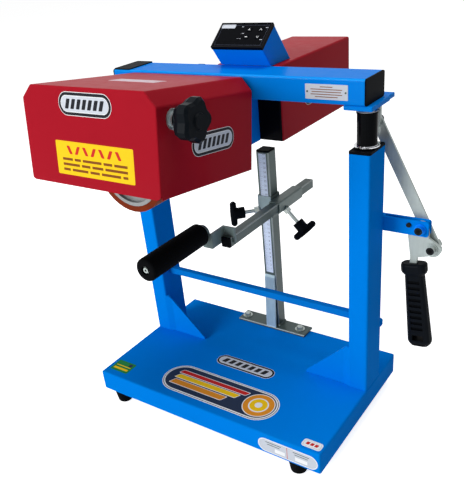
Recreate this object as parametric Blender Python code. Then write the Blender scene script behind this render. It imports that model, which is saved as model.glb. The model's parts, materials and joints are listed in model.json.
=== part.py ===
"""Tabletop rotary heat transfer press for cups: a hot silicone roller on a lifting head over a mandrel.

Metres, +Z up, -Y towards the user. The pieces are placed from the middle of the base's top face,
and the whole press is then moved so that the origin lies on the bench under the middle of its outline.
"""

import math

import bmesh
import bpy
from mathutils import Matrix, Vector

# Fits
SEAT = 0.0003
RUNNING = 0.0003
BORE_CLEARANCE = 0.0003
SLIDING = 0.0005
OVERRUN = 0.002
WELD_BITE = 0.0005

# Base tray and feet
BASE_WIDTH = 0.550
BASE_DEPTH = 0.353
BASE_HEIGHT = 0.046
BASE_SHEET = 0.002
BASE_BEND = 0.0035
BASE_LIP = 0.040
FOOT_HEIGHT = 0.033
FOOT_RADIUS = 0.020
FOOT_SOLE_RADIUS = 0.0165
FOOT_ROUND = 0.004
FOOT_INSET_X = 0.048
FOOT_INSET_Y = 0.0215
FOOT_SHIFT_X = -0.010
FOOT_STUD_RADIUS = 0.004
FOOT_STUD_LENGTH = 0.014

# Posts, gussets and tie bar
POST_WIDTH = 0.040
POST_DEPTH = 0.066
POST_HEIGHT = 0.4933
POST_WALL = 0.002
POST_CORNER = 0.004
POST_EDGE = 0.0005
POST_Y = 0.0615
GUSSET_LENGTH = 0.0988
GUSSET_HEIGHT = 0.0972
GUSSET_THICKNESS = 0.004
GUSSET_TIP = 0.005
TIE_SIZE = 0.015
TIE_WALL = 0.0015
TIE_CORNER = 0.002
TIE_HEIGHT = 0.1467

# Guides on the posts
CAP_THICKNESS = 0.004
SLEEVE_RADIUS = 0.0175
SLEEVE_HEIGHT = 0.0624
SLEEVE_SPIGOT = 0.060
SLEEVE_FLANGE_RADIUS = 0.0220
SLEEVE_FLANGE_HEIGHT = 0.004
SLEEVE_LIP_RADIUS = 0.0185
SLEEVE_LIP_HEIGHT = 0.004
ROD_RADIUS = 0.0125
ROD_REACH = 0.260

# Column with its foot plate, brace and ruler
COLUMN_X = -0.018
COLUMN_INSET = 0.0075
COLUMN_SIZE = 0.030
COLUMN_WALL = 0.002
COLUMN_CORNER = 0.002
COLUMN_TOP_GAP = 0.0492
FOOT_PLATE_LENGTH = 0.1815
FOOT_PLATE_DEPTH = 0.041
FOOT_PLATE_THICKNESS = 0.005
FOOT_PLATE_X = -0.0203
FOOT_PLATE_FORWARD = 0.006
FOOT_PLATE_ROUND = 0.0012
COLUMN_CAP_HEIGHT = 0.0045
COLUMN_CAP_PLUG = 0.012
CAP_ROUND = 0.0012
BRACE_WIDTH = 0.025
BRACE_THICKNESS = 0.004
BRACE_HEIGHT = 0.136
BRACE_FOOT = 0.0095
RULER_WIDTH = 0.019
RULER_THICKNESS = 0.0004
RULER_BRACE_GAP = 0.0067
RULER_TOP_MARGIN = 0.002

# Carriage on the column
CARRIAGE_DROP = 0.0306
CARRIAGE_HEIGHT = 0.049
CARRIAGE_CLEARANCE = 0.001
CARRIAGE_WALL = 0.002
CARRIAGE_CORNER = 0.003
ARM_SIZE = 0.020
ARM_WALL = 0.002
ARM_CORNER = 0.0015
ARM_RISE = 0.0026
ARM_FRONT = -0.038
ARM_LENGTH = 0.335
ARM_SLEEVE_FORWARD = 0.028
ARM_SLEEVE_LENGTH = 0.100
ARM_SLEEVE_WALL = 0.0022
ARM_PLUG_HEAD = 0.004
ARM_PLUG_DEPTH = 0.012

# Clamp screws with T handles
CLAMP_STUD_RADIUS = 0.004
CLAMP_NUT_RADIUS = 0.0085
CLAMP_NUT_HEIGHT = 0.008
CLAMP_HUB_RADIUS = 0.0125
CLAMP_HUB_LENGTH = 0.024
CLAMP_WING_LENGTH = 0.056
CLAMP_WING_RADIUS = 0.0078
CLAMP_WING_TIP_SHARE = 0.88
COLUMN_CLAMP_REACH = 0.080
COLUMN_CLAMP_UP = 0.014
ARM_CLAMP_REACH = 0.078
ARM_CLAMP_BACK = 0.001
ARM_CLAMP_TURN = math.radians(-45)

# Offset bar and mandrel
WORK_X = -0.020
OFFSET_BAR_THICKNESS = 0.005
OFFSET_BAR_HEIGHT = 0.030
OFFSET_BAR_SETBACK = 0.008
OFFSET_BAR_STEP = 0.036
OFFSET_BAR_LEG = 0.0035
OFFSET_EYE_RADIUS = 0.015
MANDREL_RADIUS = 0.022
MANDREL_LENGTH = 0.157
MANDREL_ROUND = 0.005
MANDREL_GAP = 0.009
WORK_GAP = 0.088
MANDREL_RECESS_RADIUS = 0.0085
MANDREL_RECESS_DEPTH = 0.006
AXLE_RADIUS = 0.006
AXLE_COLLAR_RADIUS = 0.010
AXLE_END_MARGIN = 0.012

# Head: beam, plates and caps
BEAM_INSET = 0.008
BEAM_DEPTH = 0.0734
BEAM_HEIGHT = 0.0425
BEAM_WALL = 0.0025
BEAM_CORNER = 0.004
HEAD_GAP = 0.0079
BEAM_FRONT = 0.020
BEAM_CAP_HEAD = 0.0025
BEAM_CAP_PLUG = 0.012
HEAD_PLATE_THICKNESS = 0.008
HEAD_PLATE_WIDTH = 0.050
HEAD_PLATE_DEPTH = 0.073
HEAD_PLATE_FRONT = 0.022
HEAD_PLATE_ROUND = 0.001
TAB_WIDTH = 0.032
TAB_REAR = 0.122
TAB_BACK = 0.0095

# Lever linkage on the right post
BRACKET_HEIGHT = 0.028
BRACKET_CHEEK = 0.005
BRACKET_REACH = 0.083
BRACKET_ROOT = 0.034
BRACKET_ROUND = 0.004
LEVER_THICKNESS = 0.006
PIVOT_OUT = 0.0685
PIVOT_BOLT_RADIUS = 0.006
BOLT_HEAD_RADIUS = 0.008
BOLT_HEAD_HEIGHT = 0.009
BOLT_WASHER_RADIUS = 0.0105
BOLT_WASHER_THICKNESS = 0.0018
NUT_RADIUS = 0.0105
NUT_HEIGHT = 0.009
CRANK_RADIUS = 0.0428
CRANK_ANGLE = math.radians(-59.8)
CRANK_LOBE = 0.0166
PIVOT_LOBE = 0.0125
LEVER_LEFT = 0.024
LEVER_NECK_LEFT = 0.018
LEVER_NECK_RIGHT = 0.005
LEVER_SHOULDER = 0.018
LEVER_WAIST = 0.060
LEVER_TANG = 0.020
LEVER_RIGHT = 0.013
STOP_BACK = 0.021
STOP_RISE = 0.0055
STOP_RADIUS = 0.003
STOP_HEAD_RADIUS = 0.0045
STOP_HEAD_HEIGHT = 0.003
LINK_LENGTH = 0.248
LINK_WIDTH = 0.021
LINK_THICKNESS = 0.005
LINK_PIN_RADIUS = 0.005
LINK_TOP_BACK = 0.0045
LUG_THICKNESS = 0.006
LUG_WIDTH = 0.018
LUG_DROP = 0.03992
LUG_EYE_HOLE = 0.0055

# Lever grip
GRIP_LEAN = math.radians(7)
GRIP_COLLAR_TOP = 0.0725
GRIP_COLLAR_HEIGHT = 0.020
GRIP_COLLAR_WIDTH = 0.049
GRIP_COLLAR_DEPTH = 0.028
GRIP_NECK_WIDTH = 0.037
GRIP_NECK_DEPTH = 0.022
GRIP_END_WIDTH = 0.047
GRIP_END_DEPTH = 0.026
GRIP_LENGTH = 0.179
GRIP_OFFSET = -0.011
GRIP_GROOVES = 9
GRIP_GROOVE_PITCH = 0.0125
GRIP_GROOVE_WIDTH = 0.0062
GRIP_GROOVE_DEPTH = 0.0022
GRIP_GROOVE_SPAN = 0.023
GRIP_GROOVE_START = 0.034
GRIP_WINDOW_WIDTH = 0.022
GRIP_WINDOW_HEIGHT = 0.012
GRIP_WINDOW_UP = 0.021
GRIP_FILLET_SHARE = 0.45

# Roller and its bearing
ROLLER_RADIUS = 0.068
ROLLER_SKIN = 0.010
ROLLER_FRONT = -0.236
ROLLER_REAR = -0.036
ROLLER_DROP = 0.0542
ROLLER_WALL = 0.006
ROLLER_WEB = 0.008
ROLLER_WEB_INSET = 0.006
SHAFT_RADIUS = 0.010
SHAFT_HUB_RADIUS = 0.018
SHAFT_HUB_LENGTH = 0.016
SHAFT_REAR = 0.150
CARRIER_WIDTH = 0.080
CARRIER_DEPTH = 0.0717
CARRIER_FRONT = 0.024
CARRIER_HEIGHT = 0.0972
CARRIER_ROUND = 0.003
BEARING_RADIUS = 0.024
BEARING_FLANGE_RADIUS = 0.030
BEARING_FLANGE = 0.005

# Heater cover, hinged on the beam
COVER_LENGTH = 0.2546
COVER_HEIGHT = 0.160
COVER_LEFT = -0.2337
COVER_RIGHT = 0.0604
COVER_CHAMFER = 0.0216
COVER_SHEET = 0.0015
COVER_BEND = 0.0025
COVER_CORNER = 0.009
COVER_CORNER_DEPTH = 0.004
COVER_PITCH = math.radians(8)
HINGE_Y = 0.0125
HINGE_DROP = 0.0092
HINGE_TO_REAR = 0.004
HINGE_TO_TOP = 0.006
KNUCKLE_RADIUS = 0.004
HINGE_SHOULDER = math.radians(30)
HINGE_PIN_RADIUS = 0.002
HINGE_LEAF = 0.0016
HINGE_LEAF_HEIGHT = 0.026
HINGE_LEAF_BLOCK = 0.0040
HINGE_LEFT = -0.150
HINGE_RIGHT = 0.030
HINGE_KNUCKLE = 0.045
HINGE_LEAF_REACH = 0.030
REFLECTOR_SHEET = 0.001
REFLECTOR_BACK = 0.045
REFLECTOR_FRONT = 0.012
REFLECTOR_LEFT_GAP = 0.030
REFLECTOR_RIGHT_GAP = 0.005
REFLECTOR_LEFT_DROP = 0.110
REFLECTOR_RIGHT_DROP = 0.070
REFLECTOR_BEND = 0.006
HEATER_RADIUS = 0.0045
HEATER_SPREAD = 0.064
HEATER_REAR = 0.060
HEATER_FRONT = 0.030
HEATER_POINTS = 9

# Star knobs
KNOB_RADIUS = 0.035
KNOB_LOBES = 5
KNOB_WAVE = 0.0034
KNOB_THICKNESS = 0.036
KNOB_ROUND = 0.0045
COVER_KNOB_REACH = 0.014
REAR_KNOB_REACH = 0.034
KNOB_NECK_RADIUS = 0.0125
KNOB_SHOULDER_RADIUS = 0.0175
KNOB_WASHER_RADIUS = 0.016
KNOB_WASHER = 0.003
KNOB_STUD_RADIUS = 0.005
KNOB_STUD_INSIDE = 0.007
KNOB_BOSS_RADIUS = 0.013
KNOB_BOSS = 0.003
KNOB_POINTS = 30
COVER_KNOB_FORWARD = 0.218
COVER_KNOB_DOWN = 0.042
REAR_KNOB_BACK = 0.035
REAR_KNOB_DOWN = 0.0404

# Rear housing with the gear motor
REAR_WIDTH = 0.139
REAR_FRONT = 0.096
REAR_LENGTH = 0.294
REAR_HEIGHT = 0.1389
REAR_SHEET = 0.0015
REAR_BEND = 0.004
REAR_FLOOR = 0.002
REAR_SHAFT_HOLE = 0.014
GEARBOX_WIDTH = 0.080
GEARBOX_LENGTH = 0.080
GEARBOX_GAP = 0.002
GEARBOX_ROUND = 0.004
MOTOR_RADIUS = 0.036
MOTOR_LENGTH = 0.130

# Control housing and panel
CONTROL_LEFT = -0.054
CONTROL_WIDTH = 0.110
CONTROL_FOOT_Y = 0.090
CONTROL_FRONT_SIDE = 0.0394
CONTROL_TILT = math.radians(37.5)
CONTROL_SHEET = 0.0015
CONTROL_BEND = 0.002
PANEL_HEIGHT = 0.056
PANEL_BEZEL = 0.007
PANEL_BACK_INSET = 0.005
PANEL_BACK_DEPTH = 0.028
PANEL_FACE_INSET = 0.004
PANEL_FACE_SINK = 0.0008
KEY_WIDTH = 0.0090
KEY_HEIGHT = 0.0075
KEY_PROUD = 0.0009
KEY_BURIED = 0.0011
KEY_POCKET = 0.0021
KEY_ROUND = 0.0008
KEY_SHARES = {
    "key_up": (0.83, 0.72),
    "key_down": (0.83, 0.42),
    "key_set": (0.61, 0.72),
    "key_run": (0.61, 0.42),
}

FOOT_CORNERS = (
    (-1, -1, "front_left"),
    (1, -1, "front_right"),
    (-1, 1, "rear_left"),
    (1, 1, "rear_right"),
)

# Facets
CORNER_STEPS = 3
FINE_STEPS = 36
ROUND_STEPS = 24
SMALL_STEPS = 16
HEX_STEPS = 6
ARC_STEPS = 8
BEVEL_STEPS = 2
SMOOTH_ANGLE = math.radians(32)

# Places worked out from the sizes above
POST_X = (BASE_WIDTH - POST_WIDTH) / 2 - POST_EDGE
POST_REAR = POST_Y + POST_DEPTH / 2
POST_INSIDE = POST_X - POST_WIDTH / 2
POST_OUTSIDE = POST_X + POST_WIDTH / 2
CAP_TOP = POST_HEIGHT + SEAT + CAP_THICKNESS
SLEEVE_TOP = CAP_TOP + SLEEVE_HEIGHT
ARM_SLEEVE_SIZE = ARM_SIZE + 2 * (SLIDING + ARM_SLEEVE_WALL)
CARRIAGE_SIZE = COLUMN_SIZE + 2 * (CARRIAGE_CLEARANCE + CARRIAGE_WALL)
ARM_X = COLUMN_X + CARRIAGE_SIZE / 2 - WELD_BITE + ARM_SLEEVE_SIZE / 2
BEAM_LENGTH = BASE_WIDTH - 2 * BEAM_INSET
BEAM_BOTTOM = SLEEVE_TOP + HEAD_GAP + HEAD_PLATE_THICKNESS + SEAT
BEAM_TOP = BEAM_BOTTOM + BEAM_HEIGHT
BEAM_Y = BEAM_FRONT + BEAM_DEPTH / 2
HEAD_PLATE_TOP = BEAM_BOTTOM - SEAT
HEAD_PLATE_BOTTOM = HEAD_PLATE_TOP - HEAD_PLATE_THICKNESS
TAB_LEFT = POST_X - TAB_BACK
LINK_TOP_X = POST_X - LINK_TOP_BACK
PIVOT_X = POST_OUTSIDE + PIVOT_OUT
CRANK = Vector((CRANK_RADIUS * math.cos(CRANK_ANGLE), 0, CRANK_RADIUS * math.sin(CRANK_ANGLE)))
SLOT_FRONT = POST_REAR + SEAT + BRACKET_CHEEK
SLOT_REAR = SLOT_FRONT + LEVER_THICKNESS + 2 * RUNNING
BRACKET_REAR = SLOT_REAR + BRACKET_CHEEK
LEVER_FRONT = SLOT_FRONT + RUNNING
LINK_FRONT = BRACKET_REAR + RUNNING
LINK_REAR = LINK_FRONT + LINK_THICKNESS
LINK_LEAN = math.asin((PIVOT_X + CRANK.x - LINK_TOP_X) / LINK_LENGTH)
LINK_TOP_Z = HEAD_PLATE_BOTTOM - LUG_DROP
PIVOT_Z = LINK_TOP_Z - LINK_LENGTH * math.cos(LINK_LEAN) - CRANK.z
BRACKET_BOTTOM = PIVOT_Z - BRACKET_HEIGHT / 2
COVER_X = (COVER_LEFT + COVER_RIGHT) / 2
COVER_WIDTH = COVER_RIGHT - COVER_LEFT
HINGE_Z = BEAM_TOP - HINGE_DROP
REAR_TOP = BEAM_TOP - SEAT
REAR_BOTTOM = REAR_TOP - REAR_HEIGHT
ROLLER_Z = BEAM_BOTTOM - ROLLER_DROP
MANDREL_Z = ROLLER_Z - ROLLER_RADIUS - WORK_GAP - MANDREL_RADIUS
OFFSET_BAR_BOTTOM = MANDREL_Z - OFFSET_BAR_HEIGHT
ARM_Z = OFFSET_BAR_BOTTOM + ARM_RISE
CARRIAGE_BOTTOM = ARM_Z - CARRIAGE_DROP
COLUMN_CLAMP_Z = CARRIAGE_BOTTOM + COLUMN_CLAMP_UP
COLUMN_Y = BASE_DEPTH / 2 - COLUMN_INSET
COLUMN_BOTTOM = FOOT_PLATE_THICKNESS + 2 * SEAT
COLUMN_TOP = REAR_BOTTOM - COLUMN_TOP_GAP
FOOT_PLATE_Y = COLUMN_Y - FOOT_PLATE_FORWARD
ARM_REAR = ARM_FRONT + ARM_LENGTH
ARM_SLEEVE_FRONT = COLUMN_Y - ARM_SLEEVE_FORWARD
ARM_CLAMP_Y = COLUMN_Y + ARM_CLAMP_BACK
STAND_HEIGHT = FOOT_HEIGHT + BASE_HEIGHT
ROOT_TWO = math.sqrt(2)

AXES = {"X": Vector((1, 0, 0)), "Y": Vector((0, 1, 0)), "Z": Vector((0, 0, 1))}
TURNS = {
    "X": Matrix.Rotation(math.radians(90), 4, "Y"),
    "Y": Matrix.Rotation(math.radians(-90), 4, "X"),
    "Z": Matrix.Identity(4),
}


def clear_scene():
    for thing in list(bpy.data.objects):
        bpy.data.objects.remove(thing, do_unlink=True)


def finish(name, colour, roughness, metallic=0.0):
    """A plain Principled material."""
    material = bpy.data.materials.new(name)
    material.use_nodes = True
    shader = material.node_tree.nodes["Principled BSDF"]
    shader.inputs["Base Color"].default_value = (*colour, 1)
    shader.inputs["Roughness"].default_value = roughness
    shader.inputs["Metallic"].default_value = metallic
    return material


def make_finishes():
    return {
        "blue": finish("blue_paint", (0.0, 0.17, 0.72), 0.25),
        "red": finish("red_paint", (0.42, 0.012, 0.028), 0.25),
        "zinc": finish("zinc_steel", (0.42, 0.44, 0.44), 0.38, 1.0),
        "chrome": finish("chrome_steel", (0.75, 0.76, 0.78), 0.12, 1.0),
        "lever": finish("lever_steel", (0.50, 0.54, 0.52), 0.45, 0.6),
        "black": finish("black_plastic", (0.015, 0.015, 0.017), 0.42),
        "gloss": finish("black_gloss", (0.008, 0.008, 0.010), 0.12),
        "rubber": finish("black_rubber", (0.02, 0.02, 0.02), 0.8),
        "silicone": finish("silicone", (0.36, 0.07, 0.03), 0.55),
        "alloy": finish("aluminium", (0.68, 0.69, 0.70), 0.35, 1.0),
        "bolt": finish("black_steel", (0.03, 0.03, 0.032), 0.35, 0.8),
        "ruler": finish("ruler_tape", (0.62, 0.68, 0.78), 0.4),
        "element": finish("heater_steel", (0.25, 0.22, 0.20), 0.5, 1.0),
        "panel": finish("panel_black", (0.010, 0.011, 0.014), 0.22),
    }


def empty(name, parent=None, place=(0, 0, 0), turn=(0, 0, 0)):
    """A point that carries pieces: a body, or the axis of a joint."""
    point = bpy.data.objects.new(name, None)
    bpy.context.scene.collection.objects.link(point)
    point.parent = parent
    point.location = place
    point.rotation_euler = turn
    return point


def piece(name, shape, material, parent, place=(0, 0, 0), turn=(0, 0, 0)):
    """Turn a bmesh into a named object on its parent."""
    mesh = bpy.data.meshes.new(name)
    bmesh.ops.recalc_face_normals(shape, faces=shape.faces)
    shape.to_mesh(mesh)
    shape.free()
    mesh.shade_smooth()
    mesh.set_sharp_from_angle(angle=SMOOTH_ANGLE)
    if material:
        mesh.materials.append(material)
    thing = bpy.data.objects.new(name, mesh)
    bpy.context.scene.collection.objects.link(thing)
    thing.parent = parent
    thing.location = place
    thing.rotation_euler = turn
    return thing


def boolean(target, tool, operation):
    """Cut a tool from a piece, or weld it on. The tool itself isn't part of the press."""
    tool.hide_render = True
    tool.display_type = "WIRE"
    modifier = target.modifiers.new(tool.name, "BOOLEAN")
    modifier.operation = operation
    modifier.object = tool
    modifier.solver = "EXACT"


def cut(target, shape, name="cutter", place=(0, 0, 0), turn=(0, 0, 0)):
    tool = piece(target.name + "_" + name, shape, None, target, place, turn)
    boolean(target, tool, "DIFFERENCE")


def weld(target, shape, name="welded", place=(0, 0, 0), turn=(0, 0, 0)):
    tool = piece(target.name + "_" + name, shape, None, target, place, turn)
    boolean(target, tool, "UNION")


def soften(target, width, steps=BEVEL_STEPS):
    """Round the sharp edges of a piece."""
    modifier = target.modifiers.new("soften", "BEVEL")
    modifier.width = width
    modifier.segments = steps
    modifier.limit_method = "ANGLE"
    modifier.angle_limit = SMOOTH_ANGLE
    modifier.use_clamp_overlap = True


def thicken(target, sheet):
    """Give a folded sheet its thickness, inwards."""
    modifier = target.modifiers.new("sheet", "SOLIDIFY")
    modifier.thickness = sheet
    modifier.offset = -1
    modifier.use_even_offset = True
    modifier.use_quality_normals = True


def arc(centre, radius, first, last, steps=ARC_STEPS):
    """Points of an arc, from one angle to another."""
    angles = [first + (last - first) * step / steps for step in range(steps + 1)]
    return [(centre[0] + radius * math.cos(a), centre[1] + radius * math.sin(a)) for a in angles]


def circle(radius, steps=ROUND_STEPS, centre=(0, 0)):
    angles = [2 * math.pi * step / steps for step in range(steps)]
    return [(centre[0] + radius * math.cos(a), centre[1] + radius * math.sin(a)) for a in angles]


def rounded_rectangle(width, height, radius, centre=(0, 0)):
    """A rectangle with round corners, anticlockwise from its right side."""
    quarter = math.pi / 2
    points = []
    for corner, (side_x, side_y) in enumerate(((1, 1), (-1, 1), (-1, -1), (1, -1))):
        middle = (
            centre[0] + side_x * (width / 2 - radius),
            centre[1] + side_y * (height / 2 - radius),
        )
        points += arc(middle, radius, corner * quarter, (corner + 1) * quarter, CORNER_STEPS)
    return points


def stand_up(outline, axis):
    """Set a flat outline across an axis: X takes (y, z), Y takes (x, z) and Z takes (x, y)."""
    if axis == "X":
        return [Vector((0, a, b)) for a, b in outline]
    if axis == "Y":
        return [Vector((a, 0, b)) for a, b in outline]
    return [Vector((a, b, 0)) for a, b in outline]


def loop_of(shape, outline, axis):
    """A closed loop of edges in the plane across an axis."""
    corners = [shape.verts.new(point) for point in stand_up(outline, axis)]
    return [shape.edges.new((corners[i - 1], corners[i])) for i in range(len(corners))]


def extruded(shape, axis, start, end):
    """Give the shape's flat faces a length along an axis."""
    bmesh.ops.translate(shape, verts=shape.verts, vec=AXES[axis] * start)
    result = bmesh.ops.extrude_face_region(shape, geom=shape.faces[:])
    moved = [part for part in result["geom"] if isinstance(part, bmesh.types.BMVert)]
    bmesh.ops.translate(shape, verts=moved, vec=AXES[axis] * (end - start))
    return shape


def prism(outline, axis, start, end):
    """A solid bar with an outline as its section."""
    shape = bmesh.new()
    edges = loop_of(shape, outline, axis)
    bmesh.ops.contextual_create(shape, geom=edges)
    return extruded(shape, axis, start, end)


def pipe(outer, inner, axis, start, end):
    """A tube between two outlines with as many points each."""
    shape = bmesh.new()
    edges = loop_of(shape, outer, axis) + loop_of(shape, inner, axis)
    bmesh.ops.bridge_loops(shape, edges=edges)
    return extruded(shape, axis, start, end)


def square_tube(width, height, wall, corner, axis, start, end, centre=(0, 0)):
    outer = rounded_rectangle(width, height, corner, centre)
    inside = max(corner - wall, wall / 2)
    inner = rounded_rectangle(width - 2 * wall, height - 2 * wall, inside, centre)
    return pipe(outer, inner, axis, start, end)


def rod(radius, axis, start, end, steps=ROUND_STEPS, centre=(0, 0)):
    return prism(circle(radius, steps, centre), axis, start, end)


def turned(profile, axis="Z", steps=ROUND_STEPS, closed=False):
    """Spin (radius, height) points round an axis. An open profile starts and ends on the axis."""
    shape = bmesh.new()
    corners = [shape.verts.new((radius, 0, height)) for radius, height in profile]
    edges = [shape.edges.new(pair) for pair in zip(corners, corners[1:])]
    if closed:
        edges.append(shape.edges.new((corners[-1], corners[0])))
    bmesh.ops.spin(
        shape,
        geom=corners + edges,
        cent=(0, 0, 0),
        axis=(0, 0, 1),
        angle=2 * math.pi,
        steps=steps,
        use_merge=True,
    )
    bmesh.ops.remove_doubles(shape, verts=shape.verts, dist=SEAT / 100)
    bmesh.ops.transform(shape, matrix=TURNS[axis], verts=shape.verts)
    return shape


def lofted(loops):
    """A closed skin over loops of points with as many points each."""
    shape = bmesh.new()
    rings = [[shape.verts.new(point) for point in loop] for loop in loops]
    count = len(rings[0])
    for near, far in zip(rings, rings[1:]):
        for i in range(count):
            shape.faces.new((near[i - 1], near[i], far[i], far[i - 1]))
    shape.faces.new(rings[0])
    shape.faces.new(rings[-1])
    return shape


def block(low, high):
    """A box between two corners."""
    shape = bmesh.new()
    bmesh.ops.create_cube(shape, size=1)
    middle = [(a + b) / 2 for a, b in zip(low, high)]
    size = [b - a for a, b in zip(low, high)]
    bmesh.ops.scale(shape, verts=shape.verts, vec=size)
    bmesh.ops.translate(shape, verts=shape.verts, vec=middle)
    return shape


def open_sides(shape, *directions):
    """Take away the flat faces that look in the given directions."""
    shape.normal_update()
    gone = [
        face
        for face in shape.faces
        for direction in directions
        if face.normal.dot(Vector(direction)) > math.cos(SMOOTH_ANGLE / 2)
    ]
    bmesh.ops.delete(shape, geom=gone, context="FACES_ONLY")


def bend_edges(shape, radius, steps=BEVEL_STEPS):
    """Round the folds of an open sheet."""
    folds = [edge for edge in shape.edges if len(edge.link_faces) == 2]
    bmesh.ops.bevel(
        shape,
        geom=folds,
        offset=radius,
        segments=steps,
        profile=0.5,
        affect="EDGES",
        clamp_overlap=True,
    )


def build_base(stand, finishes):
    """A folded sheet tray, open below, with inward lips that carry the feet."""
    low = (-BASE_WIDTH / 2, -BASE_DEPTH / 2, -BASE_HEIGHT)
    shape = block(low, (BASE_WIDTH / 2, BASE_DEPTH / 2, 0))
    open_sides(shape, (0, 0, -1))
    bend_edges(shape, BASE_BEND, CORNER_STEPS)
    rim = [edge for edge in shape.edges if len(edge.link_faces) == 1]
    lip = bmesh.ops.extrude_edge_only(shape, edges=rim)
    moved = [part for part in lip["geom"] if isinstance(part, bmesh.types.BMVert)]
    inwards = (1 - 2 * BASE_LIP / BASE_WIDTH, 1 - 2 * BASE_LIP / BASE_DEPTH, 1)
    bmesh.ops.scale(shape, verts=moved, vec=inwards)
    tray = piece("base_tray", shape, finishes["blue"], stand)
    thicken(tray, BASE_SHEET)
    for side_x, side_y, label in FOOT_CORNERS:
        place = foot_place(side_x, side_y)
        hole = rod(FOOT_STUD_RADIUS + BORE_CLEARANCE, "Z", -OVERRUN, BASE_SHEET + OVERRUN, SMALL_STEPS)
        cut(tray, hole, "hole_" + label, (place.x, place.y, -BASE_HEIGHT))


def foot_place(side_x, side_y):
    x = side_x * (BASE_WIDTH / 2 - FOOT_INSET_X) + FOOT_SHIFT_X
    y = side_y * (BASE_DEPTH / 2 - FOOT_INSET_Y)
    return Vector((x, y, -BASE_HEIGHT - SEAT))


def build_feet(stand, finishes):
    """Moulded rubber feet with a stud each."""
    tall = FOOT_HEIGHT - SEAT
    middle = (FOOT_SOLE_RADIUS - FOOT_ROUND, -tall + FOOT_ROUND)
    profile = [(0, -tall)] + arc(middle, FOOT_ROUND, -math.pi / 2, 0, CORNER_STEPS)
    profile += [(FOOT_RADIUS, -FOOT_ROUND), (FOOT_RADIUS, 0)]
    profile += [(FOOT_STUD_RADIUS, 0), (FOOT_STUD_RADIUS, FOOT_STUD_LENGTH), (0, FOOT_STUD_LENGTH)]
    for side_x, side_y, label in FOOT_CORNERS:
        shape = turned(profile, steps=ROUND_STEPS)
        piece("foot_" + label, shape, finishes["rubber"], stand, foot_place(side_x, side_y))


def build_posts(stand, finishes):
    """Two rectangular tubes with a welded gusset each, joined by a tie bar."""
    for side, label in ((-1, "left"), (1, "right")):
        shape = square_tube(POST_WIDTH, POST_DEPTH, POST_WALL, POST_CORNER, "Z", SEAT, POST_HEIGHT)
        post = piece("post_" + label, shape, finishes["blue"], stand, (side * POST_X, POST_Y, 0))
        root = POST_WIDTH / 2 - WELD_BITE
        tip = POST_WIDTH / 2 + GUSSET_LENGTH
        outline = [
            (-side * root, SEAT),
            (-side * tip, SEAT),
            (-side * tip, SEAT + GUSSET_TIP),
            (-side * (root + GUSSET_TIP), GUSSET_HEIGHT),
            (-side * root, GUSSET_HEIGHT),
        ]
        start = -POST_DEPTH / 2 + POST_CORNER
        weld(post, prism(outline, "Y", start, start + GUSSET_THICKNESS), "gusset")
    reach = POST_INSIDE - SEAT
    tube = square_tube(TIE_SIZE, TIE_SIZE, TIE_WALL, TIE_CORNER, "X", -reach, reach)
    piece("tie_bar", tube, finishes["blue"], stand, (0, POST_Y, TIE_HEIGHT + TIE_SIZE / 2))


def build_guides(stand, head, finishes):
    """Caps and guide sleeves on the posts, with the head's chrome rods running in them."""
    bore = ROD_RADIUS + RUNNING
    spigot = POST_WIDTH / 2 - POST_WALL - SEAT
    flange = CAP_TOP + SEAT
    profile = [
        (bore, POST_HEIGHT - SLEEVE_SPIGOT),
        (spigot, POST_HEIGHT - SLEEVE_SPIGOT),
        (spigot, flange),
        (SLEEVE_FLANGE_RADIUS, flange),
        (SLEEVE_FLANGE_RADIUS, flange + SLEEVE_FLANGE_HEIGHT),
        (SLEEVE_RADIUS, flange + SLEEVE_FLANGE_HEIGHT),
        (SLEEVE_RADIUS, SLEEVE_TOP - SLEEVE_LIP_HEIGHT),
        (SLEEVE_LIP_RADIUS, SLEEVE_TOP - SLEEVE_LIP_HEIGHT),
        (SLEEVE_LIP_RADIUS, SLEEVE_TOP),
        (bore, SLEEVE_TOP),
    ]
    for side, label in ((-1, "left"), (1, "right")):
        place = (side * POST_X, POST_Y, 0)
        outline = rounded_rectangle(POST_WIDTH, POST_DEPTH, POST_CORNER)
        cap = prism(outline, "Z", POST_HEIGHT + SEAT, CAP_TOP)
        lid = piece("post_cap_" + label, cap, finishes["black"], stand, place)
        hole = rod(spigot + SEAT, "Z", POST_HEIGHT - OVERRUN, CAP_TOP + OVERRUN)
        cut(lid, hole, "bore")
        sleeve = turned(profile, steps=ROUND_STEPS, closed=True)
        piece("guide_sleeve_" + label, sleeve, finishes["gloss"], stand, place)
        bar = rod(ROD_RADIUS, "Z", HEAD_PLATE_BOTTOM - SEAT - ROD_REACH, HEAD_PLATE_BOTTOM - SEAT)
        piece("guide_rod_" + label, bar, finishes["chrome"], head, place)


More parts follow.
